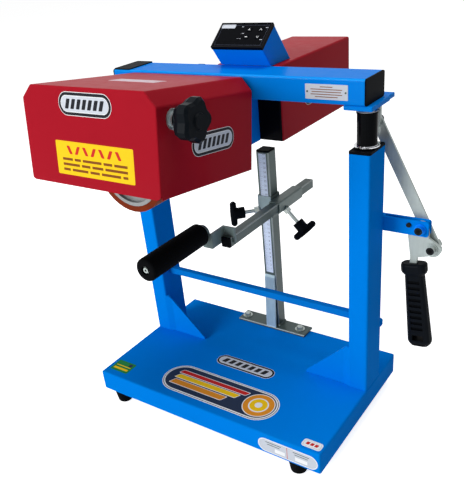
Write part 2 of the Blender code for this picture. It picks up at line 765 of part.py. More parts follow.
def build_column(stand, finishes):
    """The square column on its bolted foot plate, with brace, cap and ruler."""
    half = FOOT_PLATE_LENGTH / 2
    low = (-half, -FOOT_PLATE_DEPTH / 2, SEAT)
    plate = block(low, (half, FOOT_PLATE_DEPTH / 2, SEAT + FOOT_PLATE_THICKNESS))
    foot = piece("column_foot_plate", plate, finishes["zinc"], stand, (FOOT_PLATE_X, FOOT_PLATE_Y, 0))
    soften(foot, FOOT_PLATE_ROUND)
    place = (COLUMN_X, COLUMN_Y, 0)
    tube = square_tube(
        COLUMN_SIZE, COLUMN_SIZE, COLUMN_WALL, COLUMN_CORNER, "Z", COLUMN_BOTTOM, COLUMN_TOP
    )
    piece("column_tube", tube, finishes["zinc"], stand, place)
    build_column_cap(stand, finishes, place, COLUMN_TOP)
    face = -COLUMN_SIZE / 2
    strip = block(
        (-RULER_WIDTH / 2, face - SEAT - RULER_THICKNESS, COLUMN_BOTTOM + BRACE_HEIGHT + RULER_BRACE_GAP),
        (RULER_WIDTH / 2, face - SEAT, COLUMN_TOP - RULER_TOP_MARGIN),
    )
    piece("ruler_strip", strip, finishes["ruler"], stand, place)
    outline = [
        (face - SEAT, COLUMN_BOTTOM + BRACE_HEIGHT),
        (face - SEAT - BRACE_THICKNESS, COLUMN_BOTTOM + BRACE_HEIGHT - BRACE_THICKNESS),
        (face - BRACE_FOOT - BRACE_THICKNESS / 2, COLUMN_BOTTOM),
        (face - BRACE_FOOT + BRACE_THICKNESS / 2, COLUMN_BOTTOM),
    ]
    bar = prism(outline, "X", -BRACE_WIDTH / 2, BRACE_WIDTH / 2)
    piece("column_brace", bar, finishes["zinc"], stand, place)


def build_column_cap(stand, finishes, place, top):
    """A pushed-in plastic cap."""
    size = COLUMN_SIZE
    cap = prism(rounded_rectangle(size, size, COLUMN_CORNER), "Z", top + SEAT, top + COLUMN_CAP_HEIGHT)
    lid = piece("column_cap", cap, finishes["black"], stand, place)
    soften(lid, CAP_ROUND)
    inside = size - 2 * (COLUMN_WALL + SEAT)
    plug = rounded_rectangle(inside, inside, COLUMN_CORNER)
    weld(lid, prism(plug, "Z", top - COLUMN_CAP_PLUG, top + SEAT + CAP_ROUND), "plug")


def clamp_boss(tube_size, clearance):
    """A weld nut over the corner of a square sleeve, from the tube's centre line outwards."""
    hole = CLAMP_STUD_RADIUS + BORE_CLEARANCE
    inner = (tube_size / 2 + clearance) * ROOT_TWO
    outer = inner + CARRIAGE_WALL * ROOT_TWO
    nut = rod(CLAMP_NUT_RADIUS, "Z", inner, outer + CLAMP_NUT_HEIGHT, HEX_STEPS)
    bore = rod(hole, "Z", inner - hole, outer + CLAMP_NUT_HEIGHT + OVERRUN, SMALL_STEPS)
    return nut, bore


def build_carriage(carriage, finishes):
    """Two welded square sleeves, one on the column and one for the arm, with a clamp nut each."""
    column_axis = (COLUMN_X, COLUMN_Y, 0)
    size = CARRIAGE_SIZE
    tube = square_tube(
        size,
        size,
        CARRIAGE_WALL,
        CARRIAGE_CORNER,
        "Z",
        CARRIAGE_BOTTOM,
        CARRIAGE_BOTTOM + CARRIAGE_HEIGHT,
    )
    sleeve = piece("carriage_sleeves", tube, finishes["zinc"], carriage, column_axis)
    wide = ARM_SLEEVE_SIZE
    side = square_tube(wide, wide, ARM_SLEEVE_WALL, CARRIAGE_CORNER, "Y", 0, ARM_SLEEVE_LENGTH)
    offset = (ARM_X - COLUMN_X, ARM_SLEEVE_FRONT - COLUMN_Y, ARM_Z)
    weld(sleeve, side, "arm_sleeve", offset)
    column_turn = (math.radians(90), 0, math.radians(-45))
    arm_turn = (0, math.radians(135), 0)
    nut, bore = clamp_boss(COLUMN_SIZE, CARRIAGE_CLEARANCE)
    column_place = (0, 0, COLUMN_CLAMP_Z)
    weld(sleeve, nut, "column_nut", column_place, column_turn)
    cut(sleeve, bore, "column_bore", column_place, column_turn)
    nut, bore = clamp_boss(ARM_SIZE, SLIDING)
    arm_place = (ARM_X - COLUMN_X, ARM_CLAMP_Y - COLUMN_Y, ARM_Z)
    weld(sleeve, nut, "arm_nut", arm_place, arm_turn)
    cut(sleeve, bore, "arm_bore", arm_place, arm_turn)


def wing_loops(height):
    """Sections of a T handle's wing, a rounded bar that thins towards its tips."""
    half = CLAMP_WING_LENGTH / 2
    tip = CLAMP_WING_RADIUS * CLAMP_WING_TIP_SHARE
    stations = (
        (-half, tip / 2),
        (-half + tip / 2, tip),
        (-half / 3, CLAMP_WING_RADIUS),
        (half / 3, CLAMP_WING_RADIUS),
        (half - tip / 2, tip),
        (half, tip / 2),
    )
    loops = []
    for x, radius in stations:
        ring = circle(radius, SMALL_STEPS)
        loops.append([Vector((x, a, height + b)) for a, b in ring])
    return loops


def build_clamp_screw(name, body, finishes, start, reach, turn, place):
    """A screw with a black T handle: its point stops just short of the tube it clamps."""
    hub = reach - CLAMP_HUB_LENGTH
    profile = [
        (0, start),
        (CLAMP_STUD_RADIUS, start),
        (CLAMP_STUD_RADIUS, hub),
        (CLAMP_HUB_RADIUS, hub),
        (CLAMP_HUB_RADIUS, reach),
        (0, reach),
    ]
    knob = piece(name, turned(profile, steps=SMALL_STEPS), finishes["black"], body, place, turn)
    weld(knob, lofted(wing_loops(reach)), "wing")


def corner_distance(size, corner):
    """From a square tube's centre line to the top of its rounded corner."""
    return size / 2 * ROOT_TWO - corner * (ROOT_TWO - 1)


def build_clamps(carriage, finishes):
    point = corner_distance(COLUMN_SIZE, COLUMN_CORNER) + SEAT
    place = (COLUMN_X, COLUMN_Y, COLUMN_CLAMP_Z)
    axis = empty("column_clamp_axis", carriage, place, (math.radians(90), 0, math.radians(-45)))
    build_clamp_screw(
        "t_knob_left", axis, finishes, point, COLUMN_CLAMP_REACH, (0, 0, math.radians(90)), (0, 0, 0)
    )
    point = corner_distance(ARM_SIZE, ARM_CORNER) + SEAT
    place = (ARM_X, ARM_CLAMP_Y, ARM_Z)
    axis = empty("arm_clamp_axis", carriage, place, (0, math.radians(135), 0))
    build_clamp_screw(
        "t_knob_right", axis, finishes, point, ARM_CLAMP_REACH, (0, 0, ARM_CLAMP_TURN), (0, 0, 0)
    )


def build_arm(arm, finishes):
    """The square arm that slides in its sleeve, and the offset bar with the mandrel's axle."""
    place = (ARM_X, 0, ARM_Z)
    tube = square_tube(ARM_SIZE, ARM_SIZE, ARM_WALL, ARM_CORNER, "Y", ARM_FRONT, ARM_REAR)
    piece("arm_tube", tube, finishes["zinc"], arm, place)
    head = rounded_rectangle(ARM_SIZE, ARM_SIZE, ARM_CORNER)
    plug = piece(
        "arm_plug",
        prism(head, "Y", ARM_FRONT - ARM_PLUG_HEAD, ARM_FRONT - SEAT),
        finishes["black"],
        arm,
        place,
    )
    inside = ARM_SIZE - 2 * (ARM_WALL + SEAT)
    spigot = rounded_rectangle(inside, inside, ARM_CORNER)
    weld(plug, prism(spigot, "Y", ARM_FRONT - 2 * SEAT, ARM_FRONT + ARM_PLUG_DEPTH), "spigot")
    build_offset_bar(arm, finishes)


def build_offset_bar(arm, finishes):
    """A flat bar folded twice, welded over the arm, with an eye that carries the axle."""
    thick = OFFSET_BAR_THICKNESS
    rear = ARM_FRONT + OFFSET_BAR_SETBACK + thick
    step = rear - thick - OFFSET_BAR_STEP
    right = ARM_X + ARM_SIZE / 2 + SEAT + OFFSET_BAR_LEG
    left = ARM_X - ARM_SIZE / 2 - SEAT - thick
    plan = [
        (right, rear),
        (left, rear),
        (left, step),
        (WORK_X, step),
        (WORK_X, step - thick),
        (left + thick, step - thick),
        (left + thick, rear - thick),
        (right, rear - thick),
    ]
    top = OFFSET_BAR_BOTTOM + OFFSET_BAR_HEIGHT
    bar = piece("offset_bar", prism(plan, "Z", OFFSET_BAR_BOTTOM, top), finishes["zinc"], arm)
    notch = block(
        (ARM_X - ARM_SIZE / 2 - SEAT, rear - 2 * thick, OFFSET_BAR_BOTTOM - OVERRUN),
        (ARM_X + ARM_SIZE / 2 + SEAT, rear + thick, ARM_Z + ARM_SIZE / 2 + SEAT),
    )
    cut(bar, notch, "notch")
    eye = rod(OFFSET_EYE_RADIUS, "Y", step - thick, step)
    weld(bar, eye, "eye", (WORK_X, 0, MANDREL_Z))
    face = step - thick
    collar = face - MANDREL_GAP + RUNNING
    end = face - MANDREL_GAP - MANDREL_LENGTH + MANDREL_RECESS_DEPTH + AXLE_END_MARGIN
    profile = [
        (0, end),
        (AXLE_RADIUS, end),
        (AXLE_RADIUS, collar),
        (AXLE_COLLAR_RADIUS, collar),
        (AXLE_COLLAR_RADIUS, face + WELD_BITE),
        (0, face + WELD_BITE),
    ]
    weld(bar, turned(profile, "Y", SMALL_STEPS), "axle", (WORK_X, 0, MANDREL_Z))


def mandrel_rear():
    """Where the mandrel's rear face lies along Y."""
    return ARM_FRONT + OFFSET_BAR_SETBACK - OFFSET_BAR_STEP - OFFSET_BAR_THICKNESS - MANDREL_GAP


def build_mandrel(mandrel, finishes):
    """The black roll that carries the cup, with a blind bore and a recess for its screw."""
    rear = mandrel_rear()
    front = rear - MANDREL_LENGTH
    bore = AXLE_RADIUS + RUNNING
    bottom = front + MANDREL_RECESS_DEPTH + AXLE_END_MARGIN - RUNNING
    middle = (MANDREL_RADIUS - MANDREL_ROUND, front + MANDREL_ROUND)
    edge = arc(middle, MANDREL_ROUND, -math.pi / 2, 0, CORNER_STEPS)
    profile = [
        (0, front + MANDREL_RECESS_DEPTH),
        (MANDREL_RECESS_RADIUS, front + MANDREL_RECESS_DEPTH),
        (MANDREL_RECESS_RADIUS, front),
    ]
    profile += edge
    profile += [(MANDREL_RADIUS, rear), (bore, rear), (bore, bottom), (0, bottom)]
    roll = turned(profile, "Y", ROUND_STEPS)
    piece("mandrel", roll, finishes["rubber"], mandrel)


def build_beam(head, finishes):
    """The cross tube of the head, its end caps and the plates that carry the guide rods."""
    half = BEAM_LENGTH / 2
    tube = square_tube(BEAM_DEPTH, BEAM_HEIGHT, BEAM_WALL, BEAM_CORNER, "X", -half, half)
    place = (0, BEAM_Y, BEAM_BOTTOM + BEAM_HEIGHT / 2)
    piece("beam", tube, finishes["blue"], head, place)
    inside = (BEAM_DEPTH - 2 * (BEAM_WALL + SEAT), BEAM_HEIGHT - 2 * (BEAM_WALL + SEAT))
    for side, label in ((-1, "left"), (1, "right")):
        start, end = sorted((side * (half + SEAT), side * (half + SEAT + BEAM_CAP_HEAD)))
        outline = rounded_rectangle(BEAM_DEPTH, BEAM_HEIGHT, BEAM_CORNER)
        cap = piece("beam_end_cap_" + label, prism(outline, "X", start, end), finishes["black"], head, place)
        spigot = rounded_rectangle(*inside, BEAM_CORNER - BEAM_WALL)
        start, end = sorted((side * (half - BEAM_CAP_PLUG), side * (half + 2 * SEAT)))
        weld(cap, prism(spigot, "X", start, end), "plug")
    build_head_plates(head, finishes)


def build_head_plates(head, finishes):
    """Plates under the beam's ends. The right one has a tab behind it for the link's lug."""
    rear = HEAD_PLATE_FRONT + HEAD_PLATE_DEPTH
    for side, label in ((-1, "left"), (1, "right")):
        middle = side * POST_X
        left = middle - HEAD_PLATE_WIDTH / 2
        right = middle + HEAD_PLATE_WIDTH / 2
        outline = [(left, HEAD_PLATE_FRONT), (right, HEAD_PLATE_FRONT), (right, rear), (left, rear)]
        if side > 0:
            tab_right = min(TAB_LEFT + TAB_WIDTH, right)
            outline[3:3] = [(tab_right, rear), (tab_right, TAB_REAR), (TAB_LEFT, TAB_REAR), (TAB_LEFT, rear)]
        plate = prism(outline, "Z", HEAD_PLATE_BOTTOM, HEAD_PLATE_TOP)
        thing = piece("head_plate_" + label, plate, finishes["blue"], head)
        soften(thing, HEAD_PLATE_ROUND, 1)
    lobe = LUG_WIDTH / 2
    start = LINK_FRONT - RUNNING - LUG_THICKNESS
    top = HEAD_PLATE_BOTTOM - SEAT
    outline = [(LINK_TOP_X + lobe, top), (LINK_TOP_X - lobe, top)]
    outline += arc((LINK_TOP_X, LINK_TOP_Z), lobe, math.pi, 2 * math.pi)
    shape = prism(outline, "Y", start, start + LUG_THICKNESS)
    lug = piece("link_lug", shape, finishes["zinc"], head)
    hole = rod(LUG_EYE_HOLE, "Y", start - OVERRUN, start + LUG_THICKNESS + OVERRUN, SMALL_STEPS)
    cut(lug, hole, "eye", (LINK_TOP_X, 0, LINK_TOP_Z))


def build_lever_bracket(stand, finishes):
    """Two cheeks on the right post's rear face, joined by a block, with the lever in their slot."""
    left = POST_OUTSIDE - BRACKET_ROOT
    right = POST_OUTSIDE + BRACKET_REACH
    front = POST_REAR + SEAT
    plan = [
        (left, front),
        (right, front),
        (right, SLOT_FRONT),
        (POST_OUTSIDE, SLOT_FRONT),
        (POST_OUTSIDE, SLOT_REAR),
        (right, SLOT_REAR),
        (right, BRACKET_REAR),
        (left, BRACKET_REAR),
    ]
    shape = prism(plan, "Z", BRACKET_BOTTOM, BRACKET_BOTTOM + BRACKET_HEIGHT)
    ends = [
        edge
        for edge in shape.edges
        if all(abs(vert.co.x - right) < SEAT for vert in edge.verts)
        and abs(edge.verts[0].co.y - edge.verts[1].co.y) > SEAT
    ]
    bmesh.ops.bevel(
        shape, geom=ends, offset=BRACKET_ROUND, segments=CORNER_STEPS, profile=0.5, affect="EDGES"
    )
    bracket = piece("lever_bracket", shape, finishes["blue"], stand)
    through = (front - OVERRUN, BRACKET_REAR + OVERRUN)
    hole = rod(PIVOT_BOLT_RADIUS + BORE_CLEARANCE, "Y", *through, SMALL_STEPS)
    cut(bracket, hole, "pivot_hole", (PIVOT_X, 0, PIVOT_Z))
    hole = rod(STOP_RADIUS + BORE_CLEARANCE, "Y", *through, SMALL_STEPS)
    cut(bracket, hole, "stop_hole", (PIVOT_X - STOP_BACK, 0, PIVOT_Z + STOP_RISE))


def bolt_profile(front, rear, radius, head_radius, head_height, washer=0):
    """Half of a bolt lying along Y: its head in front and its nut behind."""
    face = front - SEAT
    washer_radius = BOLT_WASHER_RADIUS if washer else head_radius
    return [
        (0, face - washer - head_height),
        (head_radius, face - washer - head_height),
        (head_radius, face - washer),
        (washer_radius, face - washer),
        (washer_radius, face),
        (radius, face),
        (radius, rear),
        (0, rear),
    ]


def build_pivot_bolts(stand, lever, link, finishes):
    """The bolts of the linkage and the screw that stops the lever."""
    profile = bolt_profile(
        POST_REAR + SEAT,
        BRACKET_REAR,
        PIVOT_BOLT_RADIUS,
        BOLT_HEAD_RADIUS,
        BOLT_HEAD_HEIGHT,
        BOLT_WASHER_THICKNESS,
    )
    shape = turned(profile, "Y", SMALL_STEPS)
    piece("lever_pivot_bolt", shape, finishes["bolt"], stand, (PIVOT_X, 0, PIVOT_Z))
    profile = bolt_profile(
        POST_REAR + SEAT, BRACKET_REAR, STOP_RADIUS, STOP_HEAD_RADIUS, STOP_HEAD_HEIGHT
    )
    shape = turned(profile, "Y", SMALL_STEPS)
    place = (PIVOT_X - STOP_BACK, 0, PIVOT_Z + STOP_RISE)
    piece("lever_stop_screw", shape, finishes["bolt"], stand, place)
    nut_front = LINK_REAR + SEAT
    profile = bolt_profile(
        LEVER_FRONT,
        nut_front + WELD_BITE,
        LINK_PIN_RADIUS,
        BOLT_HEAD_RADIUS,
        BOLT_HEAD_HEIGHT,
        BOLT_WASHER_THICKNESS,
    )
    shape = turned(profile, "Y", SMALL_STEPS)
    place = (CRANK.x, 0, CRANK.z)
    bolt = piece("link_pivot_bolt", shape, finishes["bolt"], lever, place)
    weld(bolt, rod(NUT_RADIUS, "Y", nut_front, nut_front + NUT_HEIGHT, HEX_STEPS), "nut")
    lever_rear = LEVER_FRONT + LEVER_THICKNESS
    collar = rod(BOLT_HEAD_RADIUS, "Y", lever_rear + SEAT, LINK_FRONT - SEAT, SMALL_STEPS)
    weld(bolt, collar, "collar")


def build_lever(lever, finishes):
    """The lever plate: a lobe on the pivot, a lobe for the link and a tang in the grip."""
    heel = math.radians(-105)
    toe = math.radians(15)
    waist = -LEVER_WAIST
    tang = -(GRIP_COLLAR_TOP + LEVER_TANG)
    outline = arc((0, 0), PIVOT_LOBE, math.radians(10), math.radians(160))
    outline += [
        (-LEVER_LEFT, -LEVER_SHOULDER),
        (-LEVER_NECK_LEFT, waist),
        (-LEVER_NECK_LEFT, tang),
        (-LEVER_NECK_RIGHT, tang),
        (-LEVER_NECK_RIGHT, waist),
    ]
    outline += arc((CRANK.x, CRANK.z), CRANK_LOBE, heel, toe)
    outline += [(LEVER_RIGHT + CRANK_LOBE / 8, -LEVER_SHOULDER)]
    shape = prism(outline, "Y", LEVER_FRONT, LEVER_FRONT + LEVER_THICKNESS)
    plate = piece("lever_plate", shape, finishes["lever"], lever)
    span = (LEVER_FRONT - OVERRUN, LEVER_FRONT + LEVER_THICKNESS + OVERRUN)
    cut(plate, rod(PIVOT_BOLT_RADIUS + BORE_CLEARANCE, "Y", *span, SMALL_STEPS), "pivot_hole")
    hole = rod(LINK_PIN_RADIUS + BORE_CLEARANCE, "Y", *span, SMALL_STEPS)
    cut(plate, hole, "link_hole", (CRANK.x, 0, CRANK.z))


def grip_loop(width, depth, down):
    """A section of the grip, an oblong with round corners, at a distance below its top."""
    fillet = GRIP_FILLET_SHARE * depth
    outline = rounded_rectangle(width, depth, fillet)
    return [Vector((a, b, -down)) for a, b in outline]


def build_grip(lever, finishes):
    """The moulded grip: collar, waisted body, cross grooves on both faces and a hanging window."""
    edge = GRIP_COLLAR_HEIGHT / 5
    neck = GRIP_COLLAR_HEIGHT + edge
    round_end = GRIP_END_WIDTH / 4
    collar = (GRIP_COLLAR_WIDTH, GRIP_COLLAR_DEPTH)
    stations = [
        (collar[0] - 2 * edge, collar[1] - 2 * edge, 0),
        (collar[0] - edge / 2, collar[1] - edge / 2, edge / 3),
        (*collar, edge),
        (*collar, GRIP_COLLAR_HEIGHT - edge),
        (collar[0] - edge, collar[1] - edge, GRIP_COLLAR_HEIGHT),
        (GRIP_NECK_WIDTH, GRIP_NECK_DEPTH, neck),
        (GRIP_END_WIDTH, GRIP_END_DEPTH, GRIP_LENGTH - round_end),
        (GRIP_END_WIDTH - round_end / 3, GRIP_END_DEPTH - round_end / 4, GRIP_LENGTH - round_end / 2),
        (GRIP_END_WIDTH - round_end, GRIP_END_DEPTH - round_end / 2, GRIP_LENGTH - round_end / 8),
        (GRIP_END_WIDTH - 2 * round_end, GRIP_END_DEPTH - round_end, GRIP_LENGTH),
    ]
    shape = lofted([grip_loop(*station) for station in stations])
    middle_y = LEVER_FRONT + LEVER_THICKNESS / 2
    place = (GRIP_OFFSET, middle_y, -GRIP_COLLAR_TOP)
    grip = piece("lever_grip", shape, finishes["black"], lever, place, (0, -GRIP_LEAN, 0))
    for number in range(GRIP_GROOVES):
        down = GRIP_GROOVE_START + number * GRIP_GROOVE_PITCH
        share = (down - neck) / (GRIP_LENGTH - neck)
        depth = GRIP_NECK_DEPTH + share * (GRIP_END_DEPTH - GRIP_NECK_DEPTH)
        for side in (-1, 1):
            near = side * (depth / 2 - GRIP_GROOVE_DEPTH)
            far = side * depth
            groove = block(
                (-GRIP_GROOVE_SPAN / 2, min(near, far), -down - GRIP_GROOVE_WIDTH),
                (GRIP_GROOVE_SPAN / 2, max(near, far), -down),
            )
            cut(grip, groove, f"groove_{number}_{side}")
    low = GRIP_LENGTH - GRIP_WINDOW_UP
    window = block(
        (-GRIP_WINDOW_WIDTH / 2, -GRIP_END_DEPTH, -low - GRIP_WINDOW_HEIGHT / 2),
        (GRIP_WINDOW_WIDTH / 2, GRIP_END_DEPTH, -low + GRIP_WINDOW_HEIGHT / 2),
    )
    cut(grip, window, "window")
    left = -LEVER_NECK_LEFT - GRIP_OFFSET
    right = -LEVER_NECK_RIGHT - GRIP_OFFSET
    pocket = block(
        (left - SEAT, -LEVER_THICKNESS / 2 - SEAT, -LEVER_TANG - SEAT),
        (right + SEAT, LEVER_THICKNESS / 2 + SEAT, LEVER_TANG),
    )
    cut(grip, pocket, "pocket", turn=(0, GRIP_LEAN, 0))


def build_link(link, finishes):
    """The flat link from the lever's lobe to the head's lug."""
    half = LINK_WIDTH / 2
    outline = arc((0, 0), half, math.pi, 2 * math.pi) + arc((0, LINK_LENGTH), half, 0, math.pi)
    shape = prism(outline, "Y", LINK_FRONT, LINK_REAR)
    bar = piece("link_bar", shape, finishes["zinc"], link, turn=(0, -LINK_LEAN, 0))
    span = (LINK_FRONT - OVERRUN, LINK_REAR + OVERRUN)
    for height, label in ((0, "lower_hole"), (LINK_LENGTH, "upper_hole")):
        hole = rod(LINK_PIN_RADIUS + BORE_CLEARANCE, "Y", *span, SMALL_STEPS)
        cut(bar, hole, label, (0, 0, height))
    face = LINK_REAR + SEAT
    profile = [
        (0, LINK_FRONT),
        (LINK_PIN_RADIUS, LINK_FRONT),
        (LINK_PIN_RADIUS, face),
        (BOLT_HEAD_RADIUS, face),
        (BOLT_HEAD_RADIUS, face + BOLT_HEAD_HEIGHT),
        (0, face + BOLT_HEAD_HEIGHT),
    ]
    shape = turned(profile, "Y", SMALL_STEPS)
    lean = Matrix.Rotation(-LINK_LEAN, 3, "Y")
    piece("link_top_bolt", shape, finishes["bolt"], link, lean @ Vector((0, 0, LINK_LENGTH)))


def build_roller(roller, finishes):
    """The silicone-covered roller and its aluminium core with the drive shaft."""
    core = ROLLER_RADIUS - ROLLER_SKIN
    skin = pipe(
        circle(ROLLER_RADIUS, FINE_STEPS),
        circle(core + SEAT, FINE_STEPS),
        "Y",
        ROLLER_FRONT,
        ROLLER_REAR,
    )
    piece("roller_sleeve", skin, finishes["silicone"], roller)
    web = ROLLER_FRONT + ROLLER_WEB_INSET
    inner = core - ROLLER_WALL
    profile = [
        (0, web),
        (inner, web),
        (inner, ROLLER_FRONT),
        (core, ROLLER_FRONT),
        (core, ROLLER_REAR),
        (inner, ROLLER_REAR),
        (inner, web + ROLLER_WEB),
        (SHAFT_HUB_RADIUS, web + ROLLER_WEB),
        (SHAFT_HUB_RADIUS, web + ROLLER_WEB + SHAFT_HUB_LENGTH),
        (SHAFT_RADIUS, web + ROLLER_WEB + SHAFT_HUB_LENGTH),
        (SHAFT_RADIUS, SHAFT_REAR),
        (0, SHAFT_REAR),
    ]
    piece("roller_core", turned(profile, "Y", FINE_STEPS), finishes["alloy"], roller)


def build_carrier(head, finishes):
    """The housing under the beam and the bearing cartridge that the shaft turns in."""
    half = CARRIER_WIDTH / 2
    rear = CARRIER_FRONT + CARRIER_DEPTH
    shape = block(
        (-half, CARRIER_FRONT, BEAM_BOTTOM - CARRIER_HEIGHT), (half, rear, BEAM_BOTTOM - SEAT)
    )
    sides = [edge for edge in shape.edges if abs(edge.verts[0].co.z - edge.verts[1].co.z) > SEAT]
    bmesh.ops.bevel(
        shape, geom=sides, offset=CARRIER_ROUND, segments=CORNER_STEPS, profile=0.5, affect="EDGES"
    )
    housing = piece("carrier_housing", shape, finishes["blue"], head, (WORK_X, 0, 0))
    bore = rod(BEARING_RADIUS + SEAT, "Y", CARRIER_FRONT - OVERRUN, rear + OVERRUN)
    cut(housing, bore, "bore", (0, 0, ROLLER_Z))
    hole = SHAFT_RADIUS + RUNNING
    face = CARRIER_FRONT - SEAT
    profile = [
        (hole, face - BEARING_FLANGE),
        (BEARING_FLANGE_RADIUS, face - BEARING_FLANGE),
        (BEARING_FLANGE_RADIUS, face),
        (BEARING_RADIUS, face),
        (BEARING_RADIUS, rear),
        (hole, rear),
    ]
    shape = turned(profile, "Y", ROUND_STEPS, closed=True)
    piece("shaft_bearing", shape, finishes["chrome"], head, (WORK_X, 0, ROLLER_Z))


def cover_outline():
    """The heater cover's section: a box whose upper corners are cut off."""
    low = HINGE_TO_TOP - COVER_HEIGHT
    shoulder = HINGE_TO_TOP - COVER_CHAMFER
    left = -COVER_WIDTH / 2
    right = COVER_WIDTH / 2
    return [
        (left, low),
        (right, low),
        (right, shoulder),
        (right - COVER_CHAMFER, HINGE_TO_TOP),
        (left + COVER_CHAMFER, HINGE_TO_TOP),
        (left, shoulder),
    ]


def corner_waste(side):
    """What lies outside a rounded lower corner of the cover's face, as (x, z) points."""
    low = HINGE_TO_TOP - COVER_HEIGHT
    wall = COVER_WIDTH / 2
    outside = side * (wall + OVERRUN)
    inside = side * (wall - COVER_CORNER)
    waste = [(outside, low + COVER_CORNER), (outside, low - OVERRUN), (inside, low - OVERRUN)]
    for i in range(CORNER_STEPS + 1):
        angle = i * math.pi / 2 / CORNER_STEPS
        x = wall - COVER_CORNER * (1 - math.sin(angle))
        waste.append((side * x, low + COVER_CORNER * (1 - math.cos(angle))))
    return waste


def build_cover(cover, finishes):
    """The sheet cover over the roller, open below and behind, its face rounded at its lower corners."""
    shape = prism(cover_outline(), "Y", HINGE_TO_REAR - COVER_LENGTH, HINGE_TO_REAR)
    bmesh.ops.recalc_face_normals(shape, faces=shape.faces)
    open_sides(shape, (0, 0, -1), (0, 1, 0))
    bend_edges(shape, COVER_BEND)
    hood = piece("heater_cover", shape, finishes["red"], cover, (COVER_X, 0, 0))
    thicken(hood, COVER_SHEET)
    wall = COVER_WIDTH / 2
    hole = rod(KNOB_STUD_RADIUS + BORE_CLEARANCE, "X", wall - 2 * OVERRUN, wall + OVERRUN, SMALL_STEPS)
    cut(hood, hole, "knob_hole", (0, *cover_knob_place()))
    front = HINGE_TO_REAR - COVER_LENGTH
    for side, label in ((-1, "left"), (1, "right")):
        waste = prism(corner_waste(side), "Y", front - OVERRUN, front + COVER_CORNER_DEPTH)
        cut(hood, waste, f"corner_{label}")


def cover_knob_place():
    """The side knob's axis as (y, z) from the hinge."""
    return HINGE_TO_REAR - COVER_KNOB_FORWARD, HINGE_TO_TOP - COVER_KNOB_DOWN


def build_hinge(head, cover, finishes):
    """The beam's leaf with a long middle knuckle, and the cover's leaf with two outer ones."""
    back = BEAM_FRONT - SEAT - HINGE_Y
    front = back - HINGE_LEAF_BLOCK
    shoulder = -KNUCKLE_RADIUS * math.sin(HINGE_SHOULDER)
    foot = -HINGE_LEAF_HEIGHT
    outline = [(back, shoulder), (back, foot), (front, foot), (front, -KNUCKLE_RADIUS)]
    outline += arc((0, 0), KNUCKLE_RADIUS, -math.pi / 2, -2 * math.pi - HINGE_SHOULDER)
    left = HINGE_LEFT + HINGE_KNUCKLE
    right = HINGE_RIGHT - HINGE_KNUCKLE
    leaf = prism(outline, "X", left, right)
    fixed = piece("hinge_leaf_beam", leaf, finishes["zinc"], head, (0, HINGE_Y, HINGE_Z))
    cut(fixed, rod(HINGE_PIN_RADIUS + RUNNING, "X", left - OVERRUN, right + OVERRUN, SMALL_STEPS), "bore")
    under = HINGE_TO_TOP - COVER_SHEET - SEAT
    plate = block(
        (HINGE_LEFT, -HINGE_LEAF_REACH, under - HINGE_LEAF), (HINGE_RIGHT, -KNUCKLE_RADIUS - RUNNING, under)
    )
    moving = piece("hinge_leaf_cover", plate, finishes["zinc"], cover)
    for start in (HINGE_LEFT, right + RUNNING):
        end = start + HINGE_KNUCKLE - RUNNING
        weld(moving, rod(KNUCKLE_RADIUS, "X", start, end, SMALL_STEPS), f"knuckle_{start:.2f}")
        ear = block(
            (start, -KNUCKLE_RADIUS - 2 * HINGE_LEAF, -HINGE_LEAF / 2), (end, -KNUCKLE_RADIUS / 2, under)
        )
        weld(moving, ear, f"ear_{start:.2f}")
    pin = rod(HINGE_PIN_RADIUS, "X", HINGE_LEFT + RUNNING, HINGE_RIGHT - RUNNING, SMALL_STEPS)
    weld(moving, pin, "pin")


def build_heater(cover, finishes):
    """The reflector folded over the roller, with a hairpin heating element under it."""
    top = HINGE_TO_TOP - COVER_SHEET - SEAT
    left = WORK_X - ROLLER_RADIUS - REFLECTOR_LEFT_GAP
    right = WORK_X + ROLLER_RADIUS + REFLECTOR_RIGHT_GAP
    rear = HINGE_TO_REAR - REFLECTOR_BACK
    front = HINGE_TO_REAR - COVER_LENGTH + REFLECTOR_FRONT
    chamfer = COVER_RIGHT - COVER_CHAMFER + HINGE_TO_TOP - (COVER_SHEET + SEAT) * ROOT_TWO
    low = top - REFLECTOR_LEFT_DROP
    outline = [(left, low), (right, low), (right, chamfer - right), (chamfer - top, top), (left, top)]
    shape = prism(outline, "Y", front, rear)
    bmesh.ops.recalc_face_normals(shape, faces=shape.faces)
    open_sides(shape, (0, 0, -1), (0, 1, 0), (0, -1, 0))
    bend_edges(shape, REFLECTOR_BEND)
    sheet = piece("reflector", shape, finishes["alloy"], cover)
    thicken(sheet, REFLECTOR_SHEET)
    trim = block(
        (right - 2 * REFLECTOR_BEND, front - OVERRUN, low - OVERRUN),
        (right + OVERRUN, rear + OVERRUN, top - REFLECTOR_RIGHT_DROP),
    )
    cut(sheet, trim, "trim")
    build_element(cover, finishes, top - REFLECTOR_SHEET - SEAT - HEATER_RADIUS)


def build_element(cover, finishes, height):
    """A tubular element bent into a hairpin."""
    rear = HINGE_TO_REAR - HEATER_REAR
    front = HINGE_TO_REAR - COVER_LENGTH + HEATER_FRONT
    half = HEATER_SPREAD / 2
    bend = arc((WORK_X, front + half), half, math.pi, 2 * math.pi, HEATER_POINTS)
    route = [(WORK_X - half, rear)] + bend + [(WORK_X + half, rear)]
    curve = bpy.data.curves.new("heater_element", "CURVE")
    curve.dimensions = "3D"
    curve.bevel_depth = HEATER_RADIUS
    curve.bevel_resolution = 2
    curve.use_fill_caps = True
    spline = curve.splines.new("POLY")
    spline.points.add(len(route) - 1)
    for point, (x, y) in zip(spline.points, route):
        point.co = (x, y, height, 1)
    curve.materials.append(finishes["element"])
    element = bpy.data.objects.new("heater_element", curve)
    bpy.context.scene.collection.objects.link(element)
    element.parent = cover


